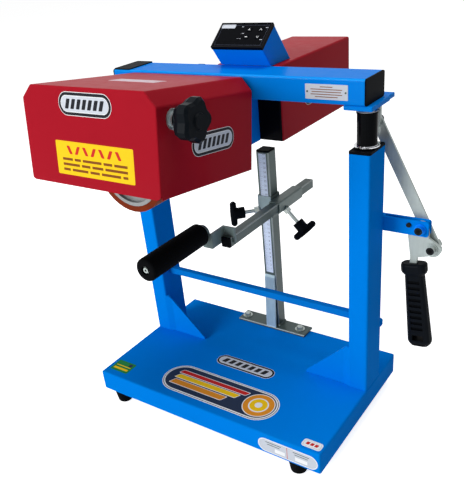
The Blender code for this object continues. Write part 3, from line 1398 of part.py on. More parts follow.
def knob_loop(radius, wave, out):
    """A section of the star knob: a circle that swells into lobes."""
    loop = []
    for i in range(KNOB_POINTS):
        angle = 2 * math.pi * i / KNOB_POINTS
        r = radius + wave * math.cos(KNOB_LOBES * angle)
        loop.append(Vector((out, r * math.cos(angle), r * math.sin(angle))))
    return loop


def build_star_knob(name, axis, finishes, start):
    """A star knob on its stud: washer, neck, flared lobed body and a low boss, along +X."""
    body = KNOB_RADIUS - KNOB_WAVE
    end = start + KNOB_THICKNESS
    flare = KNOB_THICKNESS / 4
    narrow = body - KNOB_ROUND
    stations = [
        (KNOB_STUD_RADIUS, 0, -KNOB_STUD_INSIDE),
        (KNOB_STUD_RADIUS, 0, SEAT),
        (KNOB_WASHER_RADIUS, 0, SEAT),
        (KNOB_WASHER_RADIUS, 0, KNOB_WASHER),
        (KNOB_NECK_RADIUS, 0, KNOB_WASHER),
        (KNOB_NECK_RADIUS, 0, start),
        (KNOB_SHOULDER_RADIUS, KNOB_WAVE / 2, start),
        (narrow, KNOB_WAVE, start + flare),
        (body, KNOB_WAVE, start + 2 * flare),
        (body, KNOB_WAVE, end - KNOB_ROUND),
        (narrow, KNOB_WAVE, end),
        (KNOB_BOSS_RADIUS, 0, end),
        (KNOB_BOSS_RADIUS - KNOB_BOSS / 2, 0, end + KNOB_BOSS),
    ]
    piece(name, lofted([knob_loop(*station) for station in stations]), finishes["black"], axis)


def build_rear_housing(head, finishes):
    """The rear cover with its floor, and the gear motor that turns the roller."""
    half = REAR_WIDTH / 2
    rear = REAR_FRONT + REAR_LENGTH
    shape = block((-half, REAR_FRONT, REAR_BOTTOM), (half, rear, REAR_TOP))
    open_sides(shape, (0, 0, -1))
    bend_edges(shape, REAR_BEND, CORNER_STEPS)
    cover = piece("rear_cover", shape, finishes["red"], head)
    thicken(cover, REAR_SHEET)
    hole = rod(REAR_SHAFT_HOLE, "Y", REAR_FRONT - OVERRUN, REAR_FRONT + 2 * OVERRUN)
    cut(cover, hole, "shaft_hole", (WORK_X, 0, ROLLER_Z))
    hole = rod(KNOB_STUD_RADIUS + BORE_CLEARANCE, "X", -half - OVERRUN, -half + 2 * OVERRUN, SMALL_STEPS)
    cut(cover, hole, "knob_hole", (0, REAR_FRONT + REAR_KNOB_BACK, REAR_TOP - REAR_KNOB_DOWN))
    inset = REAR_SHEET + SEAT
    inner = (REAR_WIDTH - 2 * inset, REAR_LENGTH - 2 * inset)
    outline = rounded_rectangle(*inner, REAR_BEND, (0, (REAR_FRONT + rear) / 2))
    floor = prism(outline, "Z", REAR_BOTTOM, REAR_BOTTOM + REAR_FLOOR)
    piece("rear_floor", floor, finishes["zinc"], head)
    build_gear_motor(head, finishes)


def build_gear_motor(head, finishes):
    """A gearbox on the floor plate, bored for the roller's shaft, with its motor behind."""
    floor = REAR_BOTTOM + REAR_FLOOR + SEAT - ROLLER_Z
    front = REAR_FRONT + REAR_SHEET + GEARBOX_GAP
    rear = front + GEARBOX_LENGTH
    half = GEARBOX_WIDTH / 2
    shape = block((-half, front, floor), (half, rear, -floor))
    motor = piece("gear_motor", shape, finishes["alloy"], head, (WORK_X, 0, ROLLER_Z))
    soften(motor, GEARBOX_ROUND)
    weld(motor, rod(MOTOR_RADIUS, "Y", rear - GEARBOX_ROUND * 2, rear + MOTOR_LENGTH), "motor")
    hole = rod(SHAFT_RADIUS + RUNNING, "Y", front - OVERRUN, SHAFT_REAR + SEAT, SMALL_STEPS)
    cut(motor, hole, "bore")


def control_frame():
    """The panel's directions in (y, z): up its slope, and out of its face, with its lower edge."""
    up = Vector((0, math.cos(CONTROL_TILT), math.sin(CONTROL_TILT)))
    out = Vector((0, -math.sin(CONTROL_TILT), math.cos(CONTROL_TILT)))
    foot = Vector((0, CONTROL_FOOT_Y, max(REAR_TOP, BEAM_TOP) + SEAT))
    return up, out, foot + out * CONTROL_FRONT_SIDE


def build_control(head, finishes):
    """The sloping control housing on top, open below and at its face."""
    up, out, low = control_frame()
    foot = low - out * CONTROL_FRONT_SIDE
    top = low + up * PANEL_HEIGHT
    back = top - out * ((top.z - foot.z) / out.z)
    outline = [(point.y, point.z) for point in (foot, back, top, low)]
    shape = prism(outline, "X", CONTROL_LEFT, CONTROL_LEFT + CONTROL_WIDTH)
    bmesh.ops.recalc_face_normals(shape, faces=shape.faces)
    open_sides(shape, (0, 0, -1), out)
    bend_edges(shape, CONTROL_BEND)
    housing = piece("control_housing", shape, finishes["blue"], head)
    thicken(housing, CONTROL_SHEET)
    right = CONTROL_LEFT + CONTROL_WIDTH
    trim = block(
        (CONTROL_LEFT - OVERRUN, foot.y - OVERRUN, foot.z - 2 * OVERRUN),
        (right + OVERRUN, back.y + OVERRUN, foot.z),
    )
    cut(housing, trim, "flush")
    build_panel(head, finishes, low)


def build_panel(head, finishes, low):
    """The controller: a thick bezel on the housing's face, its case behind, and four keys."""
    middle = CONTROL_LEFT + CONTROL_WIDTH / 2
    frame = empty("panel_frame", head, (middle, low.y, low.z), (CONTROL_TILT, 0, 0))
    half = CONTROL_WIDTH / 2
    shape = block((-half, 0, SEAT), (half, PANEL_HEIGHT, PANEL_BEZEL))
    shape.normal_update()
    face = [f for f in shape.faces if f.normal.z > math.cos(SMOOTH_ANGLE)]
    bmesh.ops.inset_region(shape, faces=face, thickness=PANEL_FACE_INSET)
    bmesh.ops.translate(shape, verts=face[0].verts, vec=(0, 0, -PANEL_FACE_SINK))
    back = [f for f in shape.faces if f.normal.z < -math.cos(SMOOTH_ANGLE)]
    bmesh.ops.inset_region(shape, faces=back, thickness=PANEL_BACK_INSET)
    case = bmesh.ops.extrude_face_region(shape, geom=back)
    moved = [part for part in case["geom"] if isinstance(part, bmesh.types.BMVert)]
    bmesh.ops.translate(shape, verts=moved, vec=(0, 0, -PANEL_BACK_DEPTH))
    bmesh.ops.delete(shape, geom=back, context="FACES_ONLY")
    panel = piece("control_panel", shape, finishes["panel"], frame)
    surface = PANEL_BEZEL - PANEL_FACE_SINK
    wide = KEY_WIDTH / 2
    tall = KEY_HEIGHT / 2
    for name, (share_x, share_y) in KEY_SHARES.items():
        place = ((share_x - 1 / 2) * CONTROL_WIDTH, share_y * PANEL_HEIGHT, surface)
        gap = RUNNING
        pocket = block((-wide - gap, -tall - gap, -KEY_POCKET), (wide + gap, tall + gap, OVERRUN))
        cut(panel, pocket, name, place)
        outline = rounded_rectangle(KEY_WIDTH, KEY_HEIGHT, KEY_ROUND)
        axis = empty(name + "_axis", frame, place)
        cap = prism(outline, "Z", -KEY_BURIED, KEY_PROUD)
        piece(name, cap, finishes["black"], axis)


def build_bodies(stand):
    """The points that carry the moving bodies, each on its joint's axis."""
    head = empty("head", stand)
    lever = empty("lever", stand, (PIVOT_X, 0, PIVOT_Z))
    carriage = empty("carriage", stand)
    arm = empty("arm", carriage)
    half = REAR_WIDTH / 2
    cover = empty("cover_hinge", head, (0, HINGE_Y, HINGE_Z), (-COVER_PITCH, 0, 0))
    knob_y, knob_z = cover_knob_place()
    return {
        "head": head,
        "lever": lever,
        "link": empty("link", lever, (CRANK.x, 0, CRANK.z)),
        "carriage": carriage,
        "arm": arm,
        "mandrel": empty("mandrel_axis", arm, (WORK_X, 0, MANDREL_Z)),
        "roller": empty("roller_axis", head, (WORK_X, 0, ROLLER_Z)),
        "cover": cover,
        "cover_knob": empty("cover_knob_axis", cover, (COVER_RIGHT, knob_y, knob_z)),
        "rear_knob": empty(
            "rear_knob_axis",
            head,
            (-half, REAR_FRONT + REAR_KNOB_BACK, REAR_TOP - REAR_KNOB_DOWN),
            (0, 0, math.pi),
        ),
    }


def place_over_origin(stand):
    """Move the press so that the origin is on the bench, under the middle of its outline."""
    bpy.context.view_layer.update()
    depsgraph = bpy.context.evaluated_depsgraph_get()
    places = []
    for thing in bpy.data.objects:
        if thing.type not in {"MESH", "CURVE"} or thing.hide_render:
            continue
        seen = thing.evaluated_get(depsgraph)
        places += [seen.matrix_world @ vertex.co for vertex in seen.to_mesh().vertices]
        seen.to_mesh_clear()
    for axis in (0, 1):
        values = [place[axis] for place in places]
        stand.location[axis] -= (min(values) + max(values)) / 2


def main():
    clear_scene()
    finishes = make_finishes()
    stand = empty("stand", None, (0, 0, STAND_HEIGHT))
    bodies = build_bodies(stand)
    head = bodies["head"]
    build_base(stand, finishes)
    build_feet(stand, finishes)
    build_posts(stand, finishes)
    build_guides(stand, head, finishes)
    build_column(stand, finishes)
    build_carriage(bodies["carriage"], finishes)
    build_clamps(bodies["carriage"], finishes)
    build_arm(bodies["arm"], finishes)
    build_mandrel(bodies["mandrel"], finishes)
    build_beam(head, finishes)
    build_lever_bracket(stand, finishes)
    build_pivot_bolts(stand, bodies["lever"], bodies["link"], finishes)
    build_lever(bodies["lever"], finishes)
    build_grip(bodies["lever"], finishes)
    build_link(bodies["link"], finishes)
    build_roller(bodies["roller"], finishes)
    build_carrier(head, finishes)
    build_cover(bodies["cover"], finishes)
    build_hinge(head, bodies["cover"], finishes)
    build_heater(bodies["cover"], finishes)
    build_star_knob("star_knob_front", bodies["cover_knob"], finishes, COVER_KNOB_REACH)
    build_rear_housing(head, finishes)
    build_star_knob("star_knob_rear", bodies["rear_knob"], finishes, REAR_KNOB_REACH)
    build_control(head, finishes)
    place_over_origin(stand)


main()
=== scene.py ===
"""Finishes, signs, fasteners and stage of a tabletop rotary heat press, as operators of an add-on."""

import json
import math
from functools import partialmethod

import bmesh
import bpy
from bpy.props import FloatProperty, FloatVectorProperty, PointerProperty
from bpy.types import Operator, Panel, PropertyGroup
from mathutils import Matrix, Vector


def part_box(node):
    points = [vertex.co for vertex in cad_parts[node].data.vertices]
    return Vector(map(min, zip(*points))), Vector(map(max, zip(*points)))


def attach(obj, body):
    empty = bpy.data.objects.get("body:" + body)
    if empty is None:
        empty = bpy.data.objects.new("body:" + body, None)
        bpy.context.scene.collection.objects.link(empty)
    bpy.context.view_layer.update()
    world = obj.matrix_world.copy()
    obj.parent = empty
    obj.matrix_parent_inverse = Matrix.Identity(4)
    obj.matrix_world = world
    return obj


bl_info = {
    "name": "Rotary Heat Press",
    "version": (1, 0, 0),
    "blender": (4, 5, 0),
    "location": "3D View > Sidebar > Heat Press",
    "description": "Dresses the packed press with its finishes, signs, fasteners and stage",
    "category": "Object",
}

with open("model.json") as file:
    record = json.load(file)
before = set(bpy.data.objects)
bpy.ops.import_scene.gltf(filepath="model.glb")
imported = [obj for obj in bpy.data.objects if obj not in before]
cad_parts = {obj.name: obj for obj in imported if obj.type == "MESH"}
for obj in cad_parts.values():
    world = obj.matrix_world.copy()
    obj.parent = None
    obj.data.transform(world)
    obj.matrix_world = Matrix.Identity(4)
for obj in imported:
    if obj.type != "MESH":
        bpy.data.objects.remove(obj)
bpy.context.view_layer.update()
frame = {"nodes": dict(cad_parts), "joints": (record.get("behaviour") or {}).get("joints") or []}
NODES = frame["nodes"]
JOINTS = {joint["name"]: joint for joint in frame["joints"]}

TRAY_LOW, TRAY_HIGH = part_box("base_tray")
ORIGIN = Vector(((TRAY_LOW.x + TRAY_HIGH.x) / 2, (TRAY_LOW.y + TRAY_HIGH.y) / 2, TRAY_HIGH.z))
BEAM_LOW, BEAM_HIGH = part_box("beam")

# The star knobs' bare washer: where it starts from the stud's end, and its length
KNOB_STUD = 0.0066
KNOB_WASHER = 0.0085

# The clamp screws, from the middle of the tube that they press on: the ends of their bare studs,
# the starts of their nuts and the nuts' radius, and half the width of the arm's sleeve
COLUMN_STUD = 0.0558
ARM_STUD = 0.0538
COLUMN_NUT = 0.0246
ARM_NUT = 0.0170
NUT_RADIUS = 0.0095
ARM_SLEEVE_HALF = 0.014

# The linkage's bolts: radius of the dark head, and of the rim round it
BOLT_DARK = 0.0074
BOLT_WASHER = 0.0115

# The lever's grip: its top from the lever's pivot, its lean, how it widens downwards, and its grooves,
# which take painted shade
GRIP_TOP = (-0.011, 0, -0.0725)
GRIP_LEAN = math.radians(7)
GRIP_HALF = 0.0107
GRIP_TAPER = 0.0129
GROOVE_DEPTH = 0.0008
GROOVE_HALF = 0.0118
GROOVE_START = 0.03

# The guide sleeves: the chrome ring's height over the post cap, and the worn lip's at the top
RING_FOOT = 0.0028
RING_TOP = 0.0048
LIP_HEIGHT = 0.0010

# The colours that are printed on film
FILM_DARKS = ("ink", "graphite", "navy", "brown")
FILM_BRIGHTS = ("silver", "white", "rose", "yellow", "orange", "signal", "green")

# The edges: width of a painted edge highlight, of the beam's highlight and of the highlights over the
# brace's weld runs, and depth of an end face
HIGHLIGHT_WIDTH = 0.0022
BEAM_HIGHLIGHT_WIDTH = 0.003
BRACE_TOP_HIGHLIGHT = 0.006
BRACE_FOOT_HIGHLIGHT = 0.003
END_DEPTH = 0.0012

# Each key's place, as shares of the controller's width and height
KEYS = {"key_up": (0.83, 0.72), "key_down": (0.83, 0.42), "key_set": (0.61, 0.72), "key_run": (0.61, 0.42)}

# Pitch of the turning rings on the roller's core
LATHE_PITCH = 0.0012

# The ruler: step, line width and share of the strip's width of its three kinds of stroke, and its border
RULER_STROKES = ((0.001, 0.00018, 0.22), (0.005, 0.00025, 0.34), (0.01, 0.00035, 0.46))
RULER_BORDER = 0.0006

COAT_ROUGHNESS = 0.08


def srgb(red, green, blue):
    """A colour given in screen values from 0 to 255, as the shader's linear values."""
    shares = [value / 255 for value in (red, green, blue)]
    return tuple(v / 12.92 if v <= 0.04045 else ((v + 0.055) / 1.055) ** 2.4 for v in shares)


def colour(name, description, red, green, blue):
    shown = {"name": name, "description": description, "subtype": "COLOR", "min": 0, "max": 1}
    return FloatVectorProperty(size=3, default=srgb(red, green, blue), **shown)


def length(name, description, default):
    shown = {"name": name, "description": description, "unit": "LENGTH", "precision": 4}
    return FloatProperty(default=default, min=0, **shown)


# The colours that one finish alone needs: each of the heat tints also has its place on a ramp
# Paler blue of the painted highlight on the beam's upper front edge
BLUE_EDGE_HIGHLIGHT = srgb(24, 160, 255)
# Painted shade: the tie bar's blue paint, drawn darker
TIE_BAR_SHADED_BLUE = srgb(6, 120, 212)
# Painted shade at the rear cover's open front end
PAINTED_SHADE_BLACK = srgb(7, 7, 12)
# Painted highlight on the zinc edges
ZINC_EDGE_HIGHLIGHT = srgb(176, 184, 182)
# Painted highlight over the brace's weld runs
WELD_HIGHLIGHT = srgb(206, 232, 240)
# Bright steel of the carriage's nuts, also used for the painted highlight on the sleeves' front rim
NUT_STEEL_AND_HIGHLIGHT = srgb(206, 214, 206)
# Painted light: the offset bar's zinc, drawn lighter against the shade in its fold
OFFSET_LIT_ZINC = srgb(118, 136, 136)
BRACE_ZINC = srgb(166, 192, 204)
SLEEVE_ZINC = srgb(118, 136, 142)
WASHER_ZINC = srgb(168, 178, 180)
TURNED_METAL = srgb(128, 130, 130)
SHEATH_METAL = srgb(150, 132, 110)
HEAT_TINTS = ((0.3, srgb(92, 78, 92)), (0.5, srgb(150, 120, 84)), (0.7, srgb(164, 160, 158)))
KNOB_BLACK = srgb(9, 14, 19)
GRIP_BLACK = srgb(19, 23, 29)
BOLT_BLACK = srgb(22, 24, 28)
PANEL_BLACK = srgb(8, 9, 13)
RULER_WHITE = srgb(216, 229, 248)


class PressColours(PropertyGroup):
    """The colours of the press."""

    blue: colour("Blue paint", "Powder coat of the stand and the head", 0, 130, 232)
    red: colour("Red paint", "Powder coat of the heater cover and the rear cover", 166, 22, 38)
    zinc: colour("Zinc", "Plated steel of the column and arm", 80, 94, 92)
    lever: colour("Lever plate", "Matt plated steel of the lever", 168, 177, 174)
    chrome: colour("Chrome", "Guide rods, rings and screws", 214, 216, 220)
    plastic: colour("Black plastic", "Knobs, caps and grip", 9, 12, 16)
    rubber: colour("Rubber", "Feet and mandrel", 9, 10, 12)
    silicone: colour("Silicone", "The roller's covering", 128, 46, 14)
    aluminium: colour("Aluminium", "Roller core, reflector and motor", 168, 170, 172)
    ink: colour("Sign black", "Dark rings and bars of the signs", 22, 24, 32)
    graphite: colour("Ruler grey", "Strokes and numbers of the ruler", 112, 122, 146)
    navy: colour("Sign navy", "Ground of the large sign", 34, 48, 74)
    silver: colour("Sign silver", "Pale ground of the signs", 206, 212, 222)
    white: colour("Sign white", "Borders of the signs", 246, 248, 250)
    rose: colour("Sign rose", "Ground of the pale sign on the cover", 218, 190, 198)
    yellow: colour("Sign yellow", "Ground of the heat sign", 255, 206, 24)
    brown: colour("Sign brown", "Plain lines of the heat sign", 132, 74, 22)
    orange: colour("Sign orange", "Disc and middle stripe", 232, 148, 40)
    signal: colour("Sign red", "Upper stripe and small marks", 206, 40, 36)
    green: colour("Sign green", "Ground of the corner sign", 20, 132, 62)
    floor: colour("Floor", "Floor and background", 246, 247, 248)


class PressSizes(PropertyGroup):
    """The sizes of the signs and fasteners."""

    film: length("Film", "Thickness of one layer of a sign", 0.00015)
    badge_width: length("Badge width", "Width of the badges on the covers", 0.117)
    badge_height: length("Badge height", "Height of the badges on the covers", 0.037)
    large_width: length("Large sign width", "Width of the large sign on the base", 0.283)
    large_height: length("Large sign height", "Height of the large sign on the base", 0.088)
    small_width: length("Small badge width", "Width of the small badge on the base", 0.145)
    small_height: length("Small badge height", "Height of the small badge on the base", 0.035)
    heat_width: length("Heat sign width", "Width of the heat sign on the cover", 0.173)
    heat_height: length("Heat sign height", "Height of the heat sign on the cover", 0.0556)
    bolt_width: length("Bolt width", "Across the flats of the foot plate's bolts", 0.013)
    washer_radius: length("Washer radius", "Radius of the foot plate's washers", 0.0115)
    plate_thickness: length("Plate thickness", "Thickness of the beam's cover plate", 0.002)
    weld_radius: length("Weld radius", "Radius of a weld bead", 0.0022)
    focal: FloatProperty(name="Focal length", description="Focal length for a 36 mm frame", default=46.045)


def place(x, y, z):
    """A point from the middle of the tray's top face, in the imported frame."""
    return ORIGIN + Vector((x, y, z))


class Socket:
    """An output of a node that takes plain maths: each sign or word adds its Math node."""

    def __init__(self, finish, socket):
        self.finish = finish
        self.socket = socket

    def maths(self, operation, *others):
        """Work on this value and then the others."""
        values = dict(enumerate((self, *others)))
        return self.finish.node("ShaderNodeMath", {"operation": operation}, values)

    def reflected(self, operation, first):
        """Work on another value and then this one, so that 1 - mask works."""
        return self.finish.node("ShaderNodeMath", {"operation": operation}, {0: first, 1: self})

    __add__ = partialmethod(maths, "ADD")
    __radd__ = partialmethod(reflected, "ADD")
    __sub__ = partialmethod(maths, "SUBTRACT")
    __rsub__ = partialmethod(reflected, "SUBTRACT")
    __mul__ = partialmethod(maths, "MULTIPLY")
    __rmul__ = partialmethod(reflected, "MULTIPLY")
    __abs__ = partialmethod(maths, "ABSOLUTE")
    above = partialmethod(maths, "GREATER_THAN")
    below = partialmethod(maths, "LESS_THAN")
    larger = partialmethod(maths, "MAXIMUM")
    smaller = partialmethod(maths, "MINIMUM")
    remainder = partialmethod(maths, "MODULO")
    root = partialmethod(maths, "SQRT")
    sine = partialmethod(maths, "SINE")

    def between(self, low, high):
        return self.above(low) * self.below(high)


class Sheet:
    """A node tree, to which nodes are added one call at a time."""

    def __init__(self, tree):
        self.tree = tree
        tree.nodes.clear()

    def feed(self, node, name, value):
        """Give a socket a value or a link."""
        socket = node.inputs[name]
        if isinstance(value, Socket):
            self.tree.links.new(value.socket, socket)
        else:
            socket.default_value = value

    def node(self, kind, settings=None, values=None, output=0):
        """Add a node: its settings first, then the values or links of its sockets."""
        node = self.tree.nodes.new(kind)
        for name, value in (settings or {}).items():
            if name == "stops":
                self.set_stops(node.color_ramp, value)
            else:
                setattr(node, name, value)
        for name, value in (values or {}).items():
            self.feed(node, name, value)
        return node if output is None else Socket(self, node.outputs[output])

    def set_stops(self, ramp, stops):
        """Give a ramp its (place, colour) stops."""
        while len(ramp.elements) < len(stops):
            ramp.elements.new(1)
        for element, (where, shade) in zip(ramp.elements, stops):
            element.position = where
            element.color = (*shade, 1)

    def seen(self):
        """1 for what the camera sees, itself or in metal or glass, and 0 for light on the press."""
        kinds = ("Is Camera Ray", "Is Glossy Ray", "Is Transmission Ray")
        camera, glossy, through = (self.node("ShaderNodeLightPath", output=kind) for kind in kinds)
        return camera.larger(glossy).larger(through)


class Finish(Sheet):
    """A material made of nodes on one Principled shader."""

    def __init__(self, name, base, roughness, metallic=0.0, coat=0.0, specular=0.5):
        self.material = bpy.data.materials.new(name)
        self.material.use_nodes = True
        super().__init__(self.material.node_tree)
        self.shader = self.node("ShaderNodeBsdfPrincipled", output=None)
        out = self.node("ShaderNodeOutputMaterial", output=None)
        self.tree.links.new(self.shader.outputs["BSDF"], out.inputs["Surface"])
        self.base = tuple(base)
        self.give("Base Color", (*self.base, 1))
        self.give("Roughness", roughness)
        self.give("Metallic", metallic)
        self.give("Coat Weight", coat)
        self.give("Coat Roughness", COAT_ROUGHNESS)
        self.give("Specular IOR Level", specular)
        self.material.diffuse_color = (*self.base, 1)

    def give(self, name, value):
        """Give the shader's socket a value or a link."""
        self.feed(self.shader, name, value)

    def done(self, skin, dull, relief=None, depth=0.0, strength=1.0):
        """Give the colour, the roughness and a height map of the surface, and hand back the material."""
        self.give("Base Color", skin)
        self.give("Roughness", dull)
        if relief is not None:
            values = {"Strength": strength, "Distance": depth, "Height": relief}
            self.give("Normal", self.node("ShaderNodeBump", values=values))
        return self.material

    def coordinates(self):
        return self.node("ShaderNodeTexCoord", output="Object")

    def drawn_out(self, share):
        """Object coordinates for a pattern that is drawn out along Z."""
        values = {"Vector": self.coordinates(), "Scale": (1, 1, 1 / share)}
        return self.node("ShaderNodeMapping", {"vector_type": "TEXTURE"}, values)

    def part(self, vector, axis):
        """One coordinate of a vector."""
        return self.node("ShaderNodeSeparateXYZ", values={"Vector": vector}, output=axis)

    def along(self, start, direction):
        """The distance from a point along a direction."""
        start = Vector(start)
        values = {0: self.coordinates(), 1: tuple(direction)}
        dot = self.node("ShaderNodeVectorMath", {"operation": "DOT_PRODUCT"}, values, output="Value")
        return dot - start.dot(Vector(direction))

    def away(self, centre, axes):
        """The distance from a line through a point: the two axes that it is measured in are named."""
        spot = self.coordinates()
        first, second = (self.part(spot, axis) - centre[axis] for axis in axes)
        return (first * first + second * second).root()

    def noise(self, scale, detail, vector=None, roughness=0.5):
        vector = vector or self.coordinates()
        values = {"Vector": vector, "Scale": scale, "Detail": detail, "Roughness": roughness}
        return self.node("ShaderNodeTexNoise", values=values)

    def spread(self, value, low, high):
        """Stretch a 0 to 1 value over a range."""
        return value * (high - low) + low

    def mix(self, share, first, second):
        """Mix two colours by a share."""
        colours = [shade if isinstance(shade, Socket) else (*shade, 1) for shade in (first, second)]
        values = {0: share, 6: colours[0], 7: colours[1]}
        return self.node("ShaderNodeMix", {"data_type": "RGBA"}, values, output=2)

    def tint(self, share, amount):
        """The base colour, darker and lighter by an amount around itself."""
        dark = [value * (1 - amount) for value in self.base]
        light = [min(1, value * (1 + amount)) for value in self.base]
        return self.mix(share, dark, light)


def settings():
    scene = bpy.context.scene
    return scene.press_colours, scene.press_sizes


def made(name):
    """A finish that an earlier step has made."""
    return bpy.data.materials[name]


def scaled(shade, share):
    """A colour whose values are multiplied by a share."""
    return [value * share for value in shade]


def rear_opening(finish):
    """The front end face of the rear cover, painted near black as the shade of its open inside."""
    return finish.part(finish.coordinates(), 1).below(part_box("rear_cover")[0].y + END_DEPTH)


def rubbed(finish, edges, cloud):
    """Where a painted highlight lies along edges, uneven with a cloud: each is a point, the two axes that
    it is measured in and a width.
    """
    shares = [finish.away(point, axes).below(width) for point, axes, width in edges]
    total = shares[0]
    for share in shares[1:]:
        total = total.larger(share)
    return total * finish.spread(cloud, 0.35, 0.95)


def front_edge(low, high, width=HIGHLIGHT_WIDTH):
    """The upper front edge of a box."""
    return (0, low.y, high.z), (1, 2), width


def zinc_edges():
    """The edges of the column, the arm and the foot plate that take a painted highlight."""
    column_low, column_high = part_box("column_tube")
    arm_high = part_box("arm_tube")[1]
    column = ((column_high.x, column_low.y, 0), (0, 1), HIGHLIGHT_WIDTH)
    arm = ((arm_high.x, 0, arm_high.z), (0, 2), HIGHLIGHT_WIDTH)
    return column, arm, front_edge(*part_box("column_foot_plate"))


def brace_edges():
    """The two ends of the column brace, with their weld runs, where a painted highlight lies."""
    low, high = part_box("column_brace")
    return ((0, high.y, high.z), (1, 2), BRACE_TOP_HIGHLIGHT), ((0, low.y, low.z), (1, 2), BRACE_FOOT_HIGHLIGHT)


def paint(name, base, coat, specular, edges=(), dark=None):
    """Powder coat: a little orange peel, faint clouds of dust, a painted highlight on edges where asked,
    and painted shade where asked.
    """
    finish = Finish(name, base, 0.34, coat=coat, specular=specular)
    dust = finish.noise(9, 3)
    skin = finish.tint(dust, 0.05)
    if edges:
        # Painted highlight along the asked edges
        skin = finish.mix(rubbed(finish, edges, dust), skin, BLUE_EDGE_HIGHLIGHT)
    if dark:
        # Painted shade, near black, where asked
        skin = finish.mix(dark(finish), skin, PAINTED_SHADE_BLACK)
    dull = finish.spread(finish.noise(60, 4), 0.28, 0.42)
    return finish.done(skin, dull, finish.noise(520, 2), 0.00006, 0.35)


def plated(name, base, roughness, metallic, edges=(), bright=ZINC_EDGE_HIGHLIGHT):
    """Zinc plate: drawn lines along the bar, cloudy patches, and a painted highlight on edges where asked.
    """
    finish = Finish(name, base, roughness, metallic, specular=0.2)
    cloud = finish.noise(38, 5, roughness=0.65)
    grain = finish.noise(260, 3, finish.drawn_out(0.06))
    skin = finish.tint(cloud * 0.6 + grain * 0.4, 0.28)
    if edges:
        # Painted highlight along the asked edges
        skin = finish.mix(rubbed(finish, edges, cloud), skin, bright)
    dull = finish.spread(cloud, roughness - 0.08, roughness + 0.16)
    return finish.done(skin, dull, grain, 0.00005, 0.5)


def moulded(name, base, roughness, grain=900, bare=None, metal=None, specular=0.009):
    """Moulded plastic or rubber with spark grain and worn patches, and bare metal where asked."""
    finish = Finish(name, base, roughness, specular=specular)
    wear = finish.noise(45, 4)
    grey = [min(1, value * 1.8 + 0.002) for value in finish.base]
    skin = finish.mix(wear * 0.5, finish.base, grey)
    dull = finish.spread(wear, roughness - 0.06, roughness + 0.1)
    if bare:
        share = bare(finish)
        skin = finish.mix(share, skin, metal)
        finish.give("Metallic", share * 0.6)
        dull = dull - share * 0.12
    return finish.done(skin, dull, finish.noise(grain, 2), 0.00008, 0.45)


def knob_washers(finish):
    """The washers and collars behind both star knobs."""
    across = finish.part(finish.coordinates(), 0)
    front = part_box("star_knob_front")[0].x + KNOB_STUD
    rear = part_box("star_knob_rear")[1].x - KNOB_STUD
    return across.between(front, front + KNOB_WASHER).larger(across.between(rear - KNOB_WASHER, rear))


def clamp_stud(joint, length):
    """The bare stud of a clamp screw, up to a length from the tube's middle."""

    def share(finish):
        screw = JOINTS[joint]
        return finish.along(screw["pos_m"], screw["axis"]).below(length)

    return share


def printed(name, base):
    """Printed film: almost even, with a slight unevenness of the ink."""
    finish = Finish(name, base, 0.38, specular=0.08)
    skin = finish.tint(finish.noise(150, 3), 0.04)
    return finish.done(skin, finish.spread(finish.noise(70, 2), 0.34, 0.44))


def nut_share(finish, joint, start):
    """The nut of a clamp screw, welded on the carriage."""
    centre, axis = JOINTS[joint]["pos_m"], JOINTS[joint]["axis"]
    far = finish.along(centre, axis)
    values = {0: finish.coordinates(), 1: tuple(centre)}
    span = finish.node("ShaderNodeVectorMath", {"operation": "DISTANCE"}, values, output="Value")
    return (span * span - far * far).root().below(NUT_RADIUS) * far.above(start)


def carriage_finish(colours):
    """The carriage: a pale sleeve on the column, a dark one on the arm, bright nuts, and a painted
    highlight on the sleeves' front rim.
    """
    finish = Finish("carriage_zinc", SLEEVE_ZINC, 0.34, 0.4)
    cloud = finish.noise(38, 5, roughness=0.65)
    nuts = nut_share(finish, "column_clamp_turn", COLUMN_NUT)
    nuts = nuts.larger(nut_share(finish, "arm_clamp_turn", ARM_NUT))
    arm = JOINTS["arm_clamp_turn"]["pos_m"][0] - ARM_SLEEVE_HALF
    side = finish.part(finish.coordinates(), 0).above(arm)
    # The sleeves' front end face takes a painted highlight, uneven with the cloud; the nuts are bright
    # steel
    rim = finish.part(finish.coordinates(), 1).below(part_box("carriage_sleeves")[0].y + END_DEPTH)
    bright = nuts.larger(rim * finish.spread(cloud, 0.3, 0.9))
    skin = finish.mix(side, finish.tint(cloud, 0.24), scaled(colours.zinc, 1.1))
    skin = finish.mix(bright, skin, NUT_STEEL_AND_HIGHLIGHT)
    return finish.done(skin, finish.spread(cloud, 0.26, 0.5), cloud, 0.00005, 0.4)


def chromed(name, base):
    """Ground and chromed rod, with fine streaks along it."""
    finish = Finish(name, base, 0.14, 1.0)
    streak = finish.noise(420, 3, finish.drawn_out(0.1))
    return finish.done(finish.tint(streak, 0.08), finish.spread(streak, 0.09, 0.22))


